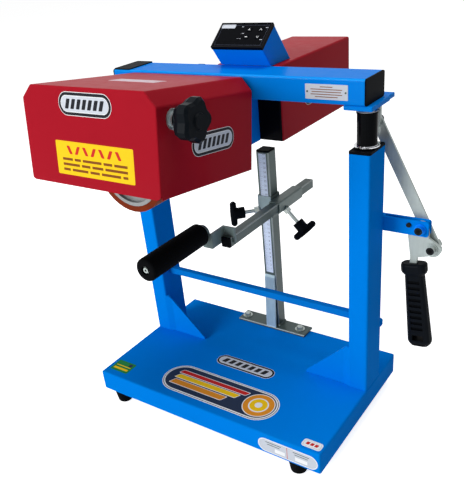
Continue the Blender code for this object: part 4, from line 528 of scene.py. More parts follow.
def grip_finish(colours):
    """The lever's grip: painted shade makes the grooves and the window darker than the ribs."""
    finish = Finish("grip_moulding", GRIP_BLACK, 0.42, specular=0.03)
    low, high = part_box("lever_grip")
    top = Vector(JOINTS["lever_swing"]["pos_m"]) + Vector(GRIP_TOP)
    down = finish.along(top, (math.sin(GRIP_LEAN), 0, -math.cos(GRIP_LEAN)))
    across = abs(finish.along(top, (math.cos(GRIP_LEAN), 0, math.sin(GRIP_LEAN))))
    outside = down * GRIP_TAPER + GRIP_HALF
    inside = outside - abs(finish.part(finish.coordinates(), 1) - (low.y + high.y) / 2)
    # Painted shade in the grooves and on the window's walls
    groove_shade = inside.above(GROOVE_DEPTH) * across.below(GROOVE_HALF) * down.above(GROOVE_START)
    wear = finish.noise(45, 4)
    skin = finish.mix(groove_shade, finish.mix(wear, finish.base, colours.plastic), scaled(finish.base, 0.2))
    return finish.done(skin, finish.spread(wear, 0.36, 0.52), finish.noise(900, 2), 0.00008, 0.45)


def sleeve_finish(colours):
    """Polished black guide sleeve over a chrome ring, with a worn lip."""
    finish = Finish("guide_gloss", colours.plastic, 0.12, coat=0.02, specular=0.02)
    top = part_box("guide_sleeve_right")[1].z
    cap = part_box("post_cap_right")[1].z
    rise = finish.part(finish.coordinates(), 2)
    flange = rise.between(cap + RING_FOOT, cap + RING_TOP)
    ring = flange.larger(rise.above(top - LIP_HEIGHT) * 0.4)
    streak = finish.noise(300, 3)
    skin = finish.mix(streak, scaled(finish.base, 0.4), finish.base)
    finish.give("Metallic", ring)
    dull = finish.spread(streak, 0.07, 0.16) + ring * 0.08
    return finish.done(finish.mix(ring, skin, colours.chrome), dull, streak, 0.00002, 0.3)


def silicone_finish(colours):
    """Cast silicone, darkened by heat in clouds."""
    finish = Finish("roller_silicone", colours.silicone, 0.5, specular=0.05)
    cloud = finish.noise(30, 5, roughness=0.6)
    pale = [min(1, value * 1.25) for value in finish.base]
    skin = finish.mix(cloud, scaled(finish.base, 0.45), pale)
    return finish.done(skin, finish.spread(cloud, 0.4, 0.62), finish.noise(240, 3), 0.0001, 0.5)


def lathe_finish():
    """Turned aluminium of the roller's core: fine rings round its axis, which lies along Y."""
    finish = Finish("turned_core", TURNED_METAL, 0.45, 0.7, specular=0.3)
    away = finish.away(JOINTS["roller_spin"]["pos_m"], (0, 2))
    rings = (away * (math.tau / LATHE_PITCH)).sine()
    cloud = finish.noise(40, 4)
    return finish.done(finish.tint(cloud, 0.12), finish.spread(cloud, 0.36, 0.55), rings, 0.00005, 0.5)


def foil_finish(colours):
    """Crumpled reflector sheet."""
    finish = Finish("reflector_foil", colours.aluminium, 0.3, 1.0)
    values = {"Vector": finish.coordinates(), "Scale": 55.0}
    crease = finish.node("ShaderNodeTexVoronoi", {"feature": "DISTANCE_TO_EDGE"}, values, output="Distance")
    skin = finish.tint(finish.noise(60, 4), 0.2)
    dull = finish.spread(finish.noise(80, 3), 0.22, 0.45)
    return finish.done(skin, dull, crease + finish.noise(90, 4) * 0.6, 0.0012, 0.7)


def sheath_finish():
    """The heating element's sheath, tinted by heat."""
    finish = Finish("element_sheath", SHEATH_METAL, 0.42, 0.9)
    warmth = finish.node("ShaderNodeValToRGB", {"stops": HEAT_TINTS}, {0: finish.noise(26, 3)})
    return finish.done(warmth, finish.spread(finish.noise(90, 3), 0.34, 0.55))


def bolt_finish(colours):
    """Blacked socket screws with worn spots and painted shade in their sockets: one rim and washer painted
    over, the other bare.
    """
    finish = Finish("blacked_bolt", BOLT_BLACK, 0.36, 0.4, specular=0.1)
    wear = finish.noise(420, 4)
    lever = finish.away(JOINTS["lever_swing"]["pos_m"], (0, 2))
    link = finish.away(JOINTS["link_swing"]["pos_m"], (0, 2))
    # Painted shade in the socket at each head's middle
    socket = lever.smaller(link).below(BOLT_DARK * 0.5)
    skin = finish.mix(wear.above(0.66) * 0.5, finish.base, colours.zinc)
    skin = finish.mix(socket, skin, scaled(finish.base, 0.1))
    skin = finish.mix(lever.between(BOLT_DARK, BOLT_WASHER), skin, colours.blue)
    skin = finish.mix(link.between(BOLT_DARK, BOLT_WASHER), skin, colours.lever)
    return finish.done(skin, finish.spread(wear, 0.28, 0.5), wear, 0.00008, 0.5)


def ruler_finish(colours):
    """Printed scale: millimetre, half-centimetre and centimetre strokes up from the lower end."""
    finish = Finish("ruler_print", RULER_WHITE, 0.4, coat=0.05, specular=0.1)
    low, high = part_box("ruler_strip")
    spot = finish.coordinates()
    rise = finish.part(spot, 2) - low.z
    side = finish.part(spot, 0) - low.x
    width = high.x - low.x
    ink = side.below(RULER_BORDER).larger(side.above(width - RULER_BORDER)) * 0.6
    for step, line, share in RULER_STROKES:
        ink = ink.larger(rise.remainder(step).below(line) * side.below(width * share))
    paper = finish.tint(finish.noise(120, 3), 0.05)
    dull = finish.spread(finish.noise(60, 2), 0.32, 0.48)
    return finish.done(finish.mix(ink, paper, colours.graphite), dull)


def panel_finish():
    """The controller's face: satin black with a little dust."""
    finish = Finish("controller_face", PANEL_BLACK, 0.22, coat=0.01, specular=0.02)
    dust = finish.noise(160, 4)
    dull = finish.spread(dust, 0.16, 0.3)
    return finish.done(finish.tint(dust, 0.3), dull, finish.noise(1100, 2), 0.00003, 0.3)


def node_finishes():
    """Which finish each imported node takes."""
    takes = {
        "blue_satin": ["base_tray", "post_left", "post_right", "lever_bracket", "carrier_housing"],
        "blue_shade": ["tie_bar"],
        "blue_gloss": ["beam", "head_plate_left", "head_plate_right", "control_housing"],
        "red_gloss": ["heater_cover"],
        "rear_red": ["rear_cover"],
        "zinc_plate": ["column_tube", "column_foot_plate", "arm_tube", "rear_floor"],
        "offset_zinc": ["offset_bar"],
        "carriage_zinc": ["carriage_sleeves"],
        "bright_zinc": ["link_bar", "link_lug"],
        "brace_zinc": ["column_brace"],
        "lever_matt": ["lever_plate"],
        "chrome_ground": ["guide_rod_left", "guide_rod_right", "shaft_bearing"],
        "guide_gloss": ["guide_sleeve_left", "guide_sleeve_right"],
        "black_moulding": ["beam_end_cap_left", "beam_end_cap_right", "column_cap", "arm_plug"],
        "grip_moulding": ["lever_grip"],
        "knob_moulding": ["star_knob_front", "star_knob_rear"],
        "column_clamp_moulding": ["t_knob_left"],
        "arm_clamp_moulding": ["t_knob_right"],
        "soft_rubber": ["mandrel", "foot_front_left", "foot_front_right", "foot_rear_left"],
        "roller_silicone": ["roller_sleeve"],
        "turned_core": ["roller_core"],
        "motor_casting": ["gear_motor"],
        "reflector_foil": ["reflector"],
        "element_sheath": ["heater_element"],
        "blacked_bolt": ["lever_pivot_bolt", "lever_stop_screw", "link_pivot_bolt", "link_top_bolt"],
        "ruler_print": ["ruler_strip"],
        "controller_face": ["control_panel"],
    }
    takes["zinc_plate"] += ["hinge_leaf_beam", "hinge_leaf_cover"]
    takes["soft_rubber"] += ["foot_rear_right"]
    takes["black_moulding"] += ["post_cap_left", "post_cap_right", *KEYS]
    return {node: finish for finish, nodes in takes.items() for node in nodes}


class PRESS_OT_make_finishes(Operator):
    """Make every finish of the press"""

    bl_idname = "press.make_finishes"
    bl_label = "Make Finishes"

    def execute(self, context):
        colours, _ = settings()
        self.painted(colours)
        self.metals(colours)
        self.mouldings(colours)
        ruler_finish(colours)
        panel_finish()
        for name in FILM_DARKS + FILM_BRIGHTS:
            printed("sign_" + name, getattr(colours, name))
        return {"FINISHED"}

    def painted(self, colours):
        """Gloss and satin blue, and the two reds."""
        # The beam's upper front edge takes a painted highlight
        paint("blue_gloss", colours.blue, 0.04, 0.008, [front_edge(BEAM_LOW, BEAM_HIGH, BEAM_HIGHLIGHT_WIDTH)])
        paint("blue_satin", colours.blue, 0.002, 0.001)
        # The tie bar's blue is painted shade: the same paint drawn darker
        paint("blue_shade", TIE_BAR_SHADED_BLUE, 0.002, 0.001)
        paint("red_gloss", colours.red, 0.02, 0.014)
        # The rear cover's open front end is painted near black as shade
        paint("rear_red", colours.red, 0.02, 0.014, dark=rear_opening)

    def metals(self, colours):
        """Zinc, chrome, blacked bolts, aluminium and the heated metals."""
        # Painted highlights on the column's, the arm's and the foot plate's edges
        plated("zinc_plate", colours.zinc, 0.34, 0.25, zinc_edges())
        # Painted light: the offset bar's zinc is drawn lighter
        plated("offset_zinc", OFFSET_LIT_ZINC, 0.4, 0.05)
        # Painted highlights over the brace's weld runs at its ends
        plated("brace_zinc", BRACE_ZINC, 0.4, 0.25, brace_edges(), WELD_HIGHLIGHT)
        plated("bright_zinc", colours.lever, 0.4, 0.5)
        plated("lever_matt", colours.lever, 0.48, 0.5)
        plated("bright_bolt", colours.lever, 0.3, 0.8)
        plated("motor_casting", colours.aluminium, 0.45, 0.8)
        carriage_finish(colours)
        chromed("chrome_ground", colours.chrome)
        bolt_finish(colours)
        lathe_finish()
        foil_finish(colours)
        sheath_finish()

    def mouldings(self, colours):
        """Plastic, rubber and silicone."""
        moulded("black_moulding", colours.plastic, 0.4)
        moulded("knob_moulding", KNOB_BLACK, 0.3, bare=knob_washers, metal=WASHER_ZINC, specular=0.03)
        for clamp, stud in (("column_clamp", COLUMN_STUD), ("arm_clamp", ARM_STUD)):
            bare = clamp_stud(clamp + "_turn", stud)
            moulded(clamp + "_moulding", colours.plastic, 0.4, bare=bare, metal=colours.lever)
        moulded("soft_rubber", colours.rubber, 0.62, 600)
        grip_finish(colours)
        sleeve_finish(colours)
        silicone_finish(colours)


class PRESS_OT_dress_nodes(Operator):
    """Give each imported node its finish"""

    bl_idname = "press.dress_nodes"
    bl_label = "Dress Packed Nodes"

    def execute(self, context):
        finishes = node_finishes()
        bare = set(NODES) - set(finishes)
        if bare:
            raise RuntimeError(f"no finish for {sorted(bare)}")
        for name, thing in NODES.items():
            thing.data.materials.clear()
            thing.data.materials.append(made(finishes[name]))
        return {"FINISHED"}


def surface(centre, right, up):
    """The turn and place of a flat piece: its own X, Y and Z become right, up and outwards."""
    right = Vector(right).normalized()
    up = Vector(up).normalized()
    out = right.cross(up)
    return Matrix.Translation(centre) @ Matrix((right, up, out)).transposed().to_4x4()


TOP = ((1, 0, 0), (0, 1, 0))
FRONT = ((1, 0, 0), (0, 0, 1))
RIGHT = ((0, 1, 0), (0, 0, 1))


def film(levels):
    """The height of a number of layers of film."""
    return settings()[1].film * levels


def raise_faces(shape, faces, height):
    """Pull a flat outline up into a plate."""
    top = bmesh.ops.extrude_face_region(shape, geom=faces)
    moved = [part for part in top["geom"] if isinstance(part, bmesh.types.BMVert)]
    bmesh.ops.translate(shape, verts=moved, vec=(0, 0, height))


def give_slot(shape, old, slot):
    """Give the faces that weren't there before a slot of finish."""
    for face in shape.faces:
        if face not in old:
            face.material_index = slot


def add_layer(shape, width, height, radius, high, slot=0, centre=(0, 0), lean=0.0, steps=8):
    """Add a plate with round corners to a shape, from its own ground up to a height."""
    old = set(shape.faces)
    new = bmesh.ops.create_grid(shape, x_segments=1, y_segments=1, size=0.5)["verts"]
    across, up = (width, lean * height, 0, centre[0]), (0, height, 0, centre[1])
    bmesh.ops.transform(shape, matrix=Matrix((across, up, (0, 0, 1, 0), (0, 0, 0, 1))), verts=new)
    if radius:
        bevel = {"affect": "VERTICES", "offset_type": "OFFSET", "profile": 0.5, "material": -1}
        bmesh.ops.bevel(shape, geom=new, offset=radius, segments=steps, **bevel)
    raise_faces(shape, [face for face in shape.faces if face not in old], high)
    give_slot(shape, old, slot)


def add_rings(shape, rings, steps=8):
    """Add layer upon layer: each has a width, a height, a corner radius and a slot."""
    for level, (wide, tall, radius, slot) in enumerate(rings, 1):
        add_layer(shape, wide, tall, radius, film(level), slot, steps=steps)


def add_disc(shape, radius, low, high, slot=0, centre=(0, 0), sides=48):
    """Add a disc or a hexagon to a shape, between two heights."""
    old = set(shape.faces)
    where = Matrix.Translation((*centre, (low + high) / 2))
    radii = {"radius1": radius, "radius2": radius}
    bmesh.ops.create_cone(shape, cap_ends=True, segments=sides, depth=high - low, matrix=where, **radii)
    give_slot(shape, old, slot)


def add_piece(name, shape, where, finishes, body, smooth=30):
    """Set a shape in its place with its finishes, and let it ride on a body."""
    bmesh.ops.transform(shape, matrix=where, verts=shape.verts)
    bmesh.ops.recalc_face_normals(shape, faces=shape.faces)
    mesh = bpy.data.meshes.new(name)
    shape.to_mesh(mesh)
    shape.free()
    for finish in finishes:
        mesh.materials.append(made(finish))
    mesh.shade_smooth()
    mesh.set_sharp_from_angle(angle=math.radians(smooth))
    thing = bpy.data.objects.new(name, mesh)
    bpy.context.scene.collection.objects.link(thing)
    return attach(thing, body)


# Corner radius of a strip with round ends, as a share of its height
ROUND_END = 0.499

# A badge: the share of its height and the slot of each ring, and its leaning bars
BADGE_RINGS = ((1.0, 0), (0.95, 1), (0.70, 0), (0.65, 2))
BADGE_BARS = 7
BAR_LEAN = 0.35


def add_badge(name, where, body, width, height):
    """A badge with a pale rim, a dark ring, a silver field and a row of leaning bars."""
    shape = bmesh.new()
    for level, (share, slot) in enumerate(BADGE_RINGS, 1):
        tall = height * share
        add_layer(shape, width - (height - tall), tall, tall * ROUND_END, film(level), slot)
    pitch = (width - height * 0.8) / BADGE_BARS
    for number in range(BADGE_BARS):
        middle = ((number - (BADGE_BARS - 1) / 2) * pitch, 0)
        bar = (pitch * 0.62, height * 0.42, height * 0.03)
        add_layer(shape, *bar, film(5), 1, middle, BAR_LEAN, steps=2)
    add_piece(name, shape, where, ["sign_white", "sign_ink", "sign_silver"], body)


# The large sign: inset and slot of its rings, radius and slot of its discs, and its stripes'
# height on the sign, length, thickness and slot
LARGE_RINGS = ((0, 0), (0.0022, 1), (0.0034, 0), (0.0064, 1))
LARGE_DISCS = ((0.0345, 0), (0.0325, 2), (0.0215, 0), (0.0185, 3), (0.0080, 0))
LARGE_STRIPES = ((0.0190, 0.172, 0.0100, 4), (0.0030, 0.156, 0.0120, 3), (-0.0160, 0.134, 0.0140, 2))
STRIPE_INSET = 0.030
STRIPE_LEAN = 0.5
STRIPE_EDGE = 0.003
DISC_SHIFT = 0.001

# The corner sign: width, height and corner radius of its ground, its bands' middle and height and their
# width, and the side and the middle of its square
CORNER_GROUND = (0.050, 0.036, 0.003)
CORNER_BANDS = ((-0.0085, 0.0060), (0.0015, 0.0025))
BAND_WIDTH = 0.040
SQUARE_SIDE = 0.0090
SQUARE_PLACE = (0.0145, 0.0095)

# The mains sign: width, height, corner radius and slot of its rings, and its marks' size and middles
MAINS_RINGS = ((0.040, 0.020, 0.006, 0), (0.035, 0.015, 0.004, 1), (0.0335, 0.0135, 0.0035, 0))
MAINS_MARK = (0.0065, 0.0070, 0.001)
MAINS_MIDDLES = (-0.0088, 0, 0.0088)

# The inspection sign: its rings, its divider, its fields' middle and width and their height and drop,
# and its lines' length and middle height, their thickness and how far off the divider they are
INSPECTION_RINGS = ((0.129, 0.033, 0.0164, 0), (0.125, 0.029, 0.0144, 1))
DIVIDER = (0.001, 0.028)
FIELDS = ((-0.016, 0.022), (0.030, 0.026))
FIELD_HEIGHT = 0.009
FIELD_DROP = -0.006
FIELD_LINES = ((0.034, 0.009), (0.028, 0.004))
FIELD_LINE = 0.0016
LINES_MIDDLES = (-0.030, 0.030)

# Middles of the signs on the tray's top, from its own middle
LARGE_PLACE = (0.005, -0.111, 0)
BADGE_PLACE = (0.008, -0.013, 0)
CORNER_PLACE = (-0.240, -0.141, 0)
MAINS_PLACE = (0.250, -0.158, 0)
INSPECTION_X = 0.2055
INSPECTION_Z = -0.0265


class PRESS_OT_base_signs(Operator):
    """Stick the signs on the tray"""

    bl_idname = "press.base_signs"
    bl_label = "Base Signs"

    def execute(self, context):
        _, sizes = settings()
        self.large_sign(sizes.large_width, sizes.large_height)
        middle = surface(place(*BADGE_PLACE), *TOP)
        add_badge("base_badge", middle, "root", sizes.small_width, sizes.small_height)
        self.corner_sign()
        self.mains_sign()
        self.inspection_sign()
        return {"FINISHED"}

    def large_sign(self, wide, tall):
        """A navy sign with a double border, three tapering stripes and a disc at its right end."""
        shape = bmesh.new()
        for level, (inset, slot) in enumerate(LARGE_RINGS, 1):
            height = tall - 2 * inset
            add_layer(shape, wide - 2 * inset, height, height * ROUND_END, film(level), slot)
        centre = ((wide - tall) / 2 + DISC_SHIFT, 0)
        for level, (radius, slot) in enumerate(LARGE_DISCS, 5):
            add_disc(shape, radius, 0, film(level), slot, centre)
        for up, long, thick, slot in LARGE_STRIPES:
            middle = (STRIPE_INSET + (long - wide) / 2, up)
            edge = (long + STRIPE_EDGE, thick + STRIPE_EDGE, 0.003)
            add_layer(shape, *edge, film(5), 0, middle, STRIPE_LEAN, steps=3)
            add_layer(shape, long, thick, 0.002, film(6), slot, middle, STRIPE_LEAN, steps=3)
        finishes = ["sign_white", "sign_navy", "sign_orange", "sign_yellow", "sign_signal"]
        add_piece("base_large_sign", shape, surface(place(*LARGE_PLACE), *TOP), finishes, "root")

    def corner_sign(self):
        """A green sign with two yellow bands and a blue square."""
        shape = bmesh.new()
        add_layer(shape, *CORNER_GROUND, film(1), steps=4)
        for up, tall in CORNER_BANDS:
            add_layer(shape, BAND_WIDTH, tall, 0.001, film(2), 1, (0, up), steps=2)
        add_layer(shape, SQUARE_SIDE, SQUARE_SIDE, 0.002, film(2), 2, SQUARE_PLACE, steps=3)
        finishes = ["sign_green", "sign_yellow", "sign_navy"]
        add_piece("base_corner_sign", shape, surface(place(*CORNER_PLACE), *TOP), finishes, "root")

    def mains_sign(self):
        """A small white sign with three red marks in a grey frame."""
        shape = bmesh.new()
        add_rings(shape, MAINS_RINGS)
        for across in MAINS_MIDDLES:
            add_layer(shape, *MAINS_MARK, film(4), 2, (across, 0), lean=0.2, steps=2)
        finishes = ["sign_white", "sign_silver", "sign_signal"]
        add_piece("base_mains_sign", shape, surface(place(*MAINS_PLACE), *TOP), finishes, "root")

    def inspection_sign(self):
        """A silver sign on the tray's front with a divider, grey lines and two white fields."""
        shape = bmesh.new()
        add_rings(shape, INSPECTION_RINGS)
        add_layer(shape, *DIVIDER, 0, film(3), 2)
        for across, wide in FIELDS:
            add_layer(shape, wide, FIELD_HEIGHT, 0.001, film(3), 0, (across, FIELD_DROP), steps=2)
        for across in LINES_MIDDLES:
            for long, up in FIELD_LINES:
                add_layer(shape, long, FIELD_LINE, 0, film(3), 3, (across, up))
        finishes = ["sign_white", "sign_silver", "sign_signal", "zinc_plate"]
        front = surface(place(INSPECTION_X, TRAY_LOW.y - ORIGIN.y, INSPECTION_Z), *FRONT)
        add_piece("base_inspection_sign", shape, front, finishes, "root")


# The heater cover's pitch, and its front and top faces from its hinge
COVER_PITCH = math.radians(8)
COVER_FRONT = -0.2506
COVER_TOP = 0.0060

# The pale sign: its rings, and its lines' lengths, thickness and pitch
TOP_RINGS = ((0.104, 0.034, 0.002, 0), (0.098, 0.028, 0.001, 1), (0.0968, 0.0268, 0.001, 0))
TOP_LINES = (0.0720, 0.0774, 0.0594)
TOP_LINE = 0.0012
TOP_PITCH = 0.007

# The heat sign: number of its marks, the dashes of its three broken lines and the marks' thickness,
# then, as shares of its width or height, the marks' pitch, rise and height, and the lines' length,
# drop, pitch and height
HEAT_MARKS = 7
HEAT_LINES = ((5, 3, 9, 4, 6), (8, 4, 5, 10), (3, 7, 4, 8, 2))
MARK_THICK = 0.0066
MARK_PITCH = 0.105
MARK_RISE = 0.25
MARK_TALL = 0.24
LINE_LONG = 0.84
LINE_DROP = 0.03
LINE_PITCH = 0.155
LINE_TALL = 0.075


def on_cover(x, y, z, axes):
    """The turn and place of a sign at the tilted heater cover's own (x, y, z) from its hinge."""
    hinge = Vector(JOINTS["cover_tilt"]["pos_m"])
    tilted = Matrix.Translation(hinge) @ Matrix.Rotation(-COVER_PITCH, 4, "X")
    return tilted @ Matrix.Translation((x, y, z)) @ surface((0, 0, 0), *axes)


class PRESS_OT_cover_signs(Operator):
    """Stick the signs on the heater cover and the rear cover"""

    bl_idname = "press.cover_signs"
    bl_label = "Cover Signs"

    def execute(self, context):
        _, sizes = settings()
        badge = (sizes.badge_width, sizes.badge_height)
        add_badge("cover_front_badge", on_cover(-0.0865, COVER_FRONT, -0.0201, FRONT), "cover", *badge)
        add_badge("cover_side_badge", on_cover(0.0604, -0.1113, -0.0848, RIGHT), "cover", *badge)
        spot = place(0, 0.243, 0.541)
        spot.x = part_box("rear_cover")[1].x
        add_badge("rear_side_badge", surface(spot, *RIGHT), "head", *badge)
        self.heat_sign(sizes.heat_width, sizes.heat_height)
        self.top_sign()
        return {"FINISHED"}

    def heat_sign(self, wide, tall):
        """A yellow sign with a row of rising heat marks over broken lines."""
        shape = bmesh.new()
        add_layer(shape, wide, tall, 0.002, film(1), steps=3)
        for number in range(HEAT_MARKS):
            middle = ((number - (HEAT_MARKS - 1) / 2) * wide * MARK_PITCH, tall * MARK_RISE)
            lean = 0.5 if number % 2 else -0.5
            mark = (MARK_THICK, tall * MARK_TALL, 0.0012)
            add_layer(shape, *mark, film(2), 1, middle, lean, steps=2)
        for line, dashes in enumerate(HEAT_LINES):
            pitch = wide * LINE_LONG / (sum(dashes) + len(dashes) - 1)
            start = -wide * LINE_LONG / 2
            for dash in dashes:
                middle = (start + dash * pitch / 2, -tall * (LINE_DROP + LINE_PITCH * line))
                add_layer(shape, dash * pitch, tall * LINE_TALL, 0, film(2), 2, middle)
                start += (dash + 1) * pitch
        where = on_cover(-0.0765, COVER_FRONT, -0.108, FRONT)
        add_piece("cover_heat_sign", shape, where, ["sign_yellow", "sign_signal", "sign_brown"], "cover")

    def top_sign(self):
        """A pale sign with a thin frame and plain lines on the cover's top."""
        shape = bmesh.new()
        add_rings(shape, TOP_RINGS, steps=3)
        for line, long in enumerate(TOP_LINES):
            add_layer(shape, long, TOP_LINE, 0, film(4), 1, (0, (1 - line) * TOP_PITCH))
        where = on_cover(-0.084, -0.128, COVER_TOP, TOP)
        add_piece("cover_top_sign", shape, where, ["sign_rose", "sign_silver"], "cover")


# The beam's cover plate: width and depth
TOP_PLATE = (0.041, 0.0715)

# The rating plate: its middle, its width, height and corner radius, its lines' shares of their full
# length, that length, their thickness, middle and pitch, and its rivets' middles and radius
RATING_PLACE = (0.2007, 0, 0.5963)
RATING_PLATE = (0.0764, 0.0245, 0.001)
RATING_LINES = (0.34, 0.86, 0.80, 0.86, 0.62)
RATING_LONG = 0.066
RATING_LINE = 0.0012
RATING_FIRST = 0.0080
RATING_PITCH = 0.0040
RIVETS = (-0.0345, 0.0345)
RIVET_RADIUS = 0.0016


class PRESS_OT_beam_trim(Operator):
    """Fit the cover plate and the rating plate on the beam"""

    bl_idname = "press.beam_trim"
    bl_label = "Beam Trim"

    def execute(self, context):
        self.top_plate(settings()[1].plate_thickness)
        self.rating_plate()
        return {"FINISHED"}

    def top_plate(self, thick):
        """A black plate over the beam's left end."""
        shape = bmesh.new()
        add_layer(shape, *TOP_PLATE, 0.002, thick, steps=3)
        middle = Vector((BEAM_LOW.x + TOP_PLATE[0] / 2, (BEAM_LOW.y + BEAM_HIGH.y) / 2, BEAM_HIGH.z))
        where = surface(middle, *TOP)
        add_piece("beam_top_plate", shape, where, ["black_moulding"], "head")

    def rating_plate(self):
        """A thin metal plate with two rivets and five plain lines."""
        shape = bmesh.new()
        add_layer(shape, *RATING_PLATE, film(4), steps=2)
        for line, share in enumerate(RATING_LINES):
            middle = (0, RATING_FIRST - line * RATING_PITCH)
            add_layer(shape, RATING_LONG * share, RATING_LINE, 0, film(5), 1, middle)
        for across in RIVETS:
            add_disc(shape, RIVET_RADIUS, 0, film(9), 2, (across, 0), sides=16)
        middle = place(*RATING_PLACE)
        middle.y = BEAM_LOW.y
        finishes = ["sign_silver", "sign_brown", "zinc_plate"]
        add_piece("beam_rating_plate", shape, surface(middle, *FRONT), finishes, "head")


# Thickness of a washer, and the foot plate's bolts: name and place, and the height of their heads
WASHER_THICK = 0.0016
FOOT_BOLTS = (("foot_bolt_left", -0.097, 0.163), ("foot_bolt_right", 0.048, 0.164))
FOOT_BOLT_HEAD = 0.0065

# The nut behind the right post: its width, washer's radius and height, the radius and height of its stud,
# and its middle from the post's side and over the tray
POST_NUT = (0.015, 0.0088, 0.0080)
POST_STUD = (0.0048, 0.0144)
POST_NUT_INSET = 0.0062
POST_NUT_RISE = 0.125

# The mandrel's screw: radius, lower and upper height, slot and sides of its washer, head and socket
MANDREL_SCREW = (
    (0.0078, 0, 0.0012, 0, 32),
    (0.0050, 0.0012, 0.0048, 0, 32),
    (0.0025, 0.0048, 0.0049, 1, 6),
)
MANDREL_RECESS = 0.006


def add_hex_bolt(shape, width, washer, tall):
    """A washer and a chamfered hexagon head, up from the surface."""
    add_disc(shape, washer, 0, WASHER_THICK, sides=40)
    old = set(shape.faces)
    add_disc(shape, width / math.sqrt(3), WASHER_THICK, WASHER_THICK + tall, sides=6)
    top = [face for face in shape.faces if face not in old and face.normal.z > 0.9]
    edges = list({edge for face in top for edge in face.edges})
    chamfer = {"affect": "EDGES", "segments": 2, "profile": 0.5, "material": -1}
    bmesh.ops.bevel(shape, geom=edges, offset=width * 0.08, **chamfer)


class PRESS_OT_fasteners(Operator):
    """Fit the bolts of the foot plate, the post's nut and the mandrel's screw"""

    bl_idname = "press.fasteners"
    bl_label = "Fasteners"

    def execute(self, context):
        _, sizes = settings()
        for name, x, y in FOOT_BOLTS:
            shape = bmesh.new()
            add_hex_bolt(shape, sizes.bolt_width, sizes.washer_radius, FOOT_BOLT_HEAD)
            spot = place(x, y, 0)
            spot.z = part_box("column_foot_plate")[1].z
            add_piece(name, shape, surface(spot, *TOP), ["bright_bolt"], "root")
        self.post_nut()
        self.mandrel_screw()
        return {"FINISHED"}

    def post_nut(self):
        """The painted nut and stud behind the right post."""
        width, washer, tall = POST_NUT
        shape = bmesh.new()
        add_hex_bolt(shape, width, washer, tall - WASHER_THICK)
        stud, end = POST_STUD
        add_disc(shape, stud, tall, end, sides=20)
        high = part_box("post_right")[1]
        spot = Vector((high.x - POST_NUT_INSET, high.y, place(0, 0, POST_NUT_RISE).z))
        where = surface(spot, (-1, 0, 0), (0, 0, 1))
        add_piece("post_nut", shape, where, ["blue_satin"], "root")

    def mandrel_screw(self):
        """A washer and a socket screw in the mandrel's front recess."""
        shape = bmesh.new()
        for radius, low, high, slot, sides in MANDREL_SCREW:
            add_disc(shape, radius, low, high, slot, sides=sides)
        spot = Vector(JOINTS["mandrel_spin"]["pos_m"])
        spot.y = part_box("mandrel")[0].y + MANDREL_RECESS
        finishes = ["bright_bolt", "blacked_bolt"]
        add_piece("mandrel_screw", shape, surface(spot, *FRONT), finishes, "mandrel")


# The fill over a post's inner corner: where it starts from the post's outer side, how far it runs across
# and back to the gusset's face, its outline's upper corner, its heights and how deep it is sunk
SEAM_START = 0.036
SEAM_ACROSS = 0.016
SEAM_BACK = 0.004
SEAM_CORNER = 0.0092
SEAM_HEIGHTS = (0.0888, 0.0962)
SEAM_SUNK = 0.0006
SEAM_PROUD = 0.00005


def add_weld(name, start, end, radius, body):
    """A bead of overlapping drops between two points."""
    run = end - start
    count = max(2, round(run.length / (radius * 0.9)))
    shape = bmesh.new()
    for number in range(count):
        spot = Matrix.Translation(start + run * ((number + 0.5) / count))
        swell = radius * (1 + 0.12 * math.sin(number * 2.4))
        bmesh.ops.create_icosphere(shape, subdivisions=2, radius=swell, matrix=spot)
    add_piece(name, shape, Matrix.Identity(4), ["zinc_plate"], body, smooth=80)


def add_seam(post, side):
    """The painted fill over a post's inner corner, sloping back from its front to the gusset's."""
    low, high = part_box(post)
    wide = math.hypot(SEAM_ACROSS, SEAM_BACK)
    outer_height, inner_height = SEAM_HEIGHTS
    corners = ((0, 0), (wide, 0), (wide, outer_height), (SEAM_CORNER, inner_height), (0, inner_height))
    shape = bmesh.new()
    verts = [bmesh.ops.create_vert(shape, co=(side * x, y, -SEAM_SUNK))["vert"][0] for x, y in corners]
    raise_faces(shape, bmesh.ops.contextual_create(shape, geom=verts)["faces"], SEAM_SUNK + SEAM_PROUD)
    outer = low.x if side > 0 else high.x
    start = Vector((outer + side * SEAM_START, low.y, low.z + 0.0001))
    where = surface(start, (SEAM_ACROSS, side * SEAM_BACK, 0), (0, 0, 1))
    add_piece(post + "_seam", shape, where, ["blue_satin"], "root")


class PRESS_OT_welds(Operator):
    """Lay the weld beads of the column, the carriage and the gussets"""

    bl_idname = "press.welds"
    bl_label = "Welds"

    def execute(self, context):
        radius = settings()[1].weld_radius
        self.column_welds(radius)
        self.arm_welds(radius)
        add_seam("post_left", 1)
        add_seam("post_right", -1)
        return {"FINISHED"}

    def column_welds(self, radius):
        """A bead along each side of the column's foot."""
        low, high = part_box("column_tube")
        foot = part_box("column_foot_plate")[1].z
        spots = ((low.x, low.y), (high.x, low.y), (high.x, high.y), (low.x, high.y))
        corners = [Vector((*spot, foot)) for spot in spots]
        for number, side in enumerate(("front", "right", "rear", "left")):
            start, end = corners[number], corners[(number + 1) % 4]
            add_weld("column_weld_" + side, start, end, radius, "root")

    def arm_welds(self, radius):
        """A bead up each side of the arm, where the offset bar ends."""
        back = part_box("offset_bar")[1].y
        low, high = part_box("arm_tube")
        for side, x in (("left", low.x), ("right", high.x)):
            start = Vector((x, back, low.z + radius))
            end = Vector((x, back, high.z - radius))
            add_weld("arm_weld_" + side, start, end, radius * 0.7, "arm")


# The controller: the middle of its lower edge from the tray's, its tilt and size, and how high its face
# and its keys stand
PANEL_FOOT = (0.001, 0.066015, 0.650258)
PANEL_TILT = math.radians(37.5)
PANEL_WIDTH = 0.110
PANEL_HEIGHT = 0.056
PANEL_FACE = 0.0062
KEY_TOP = 0.0071

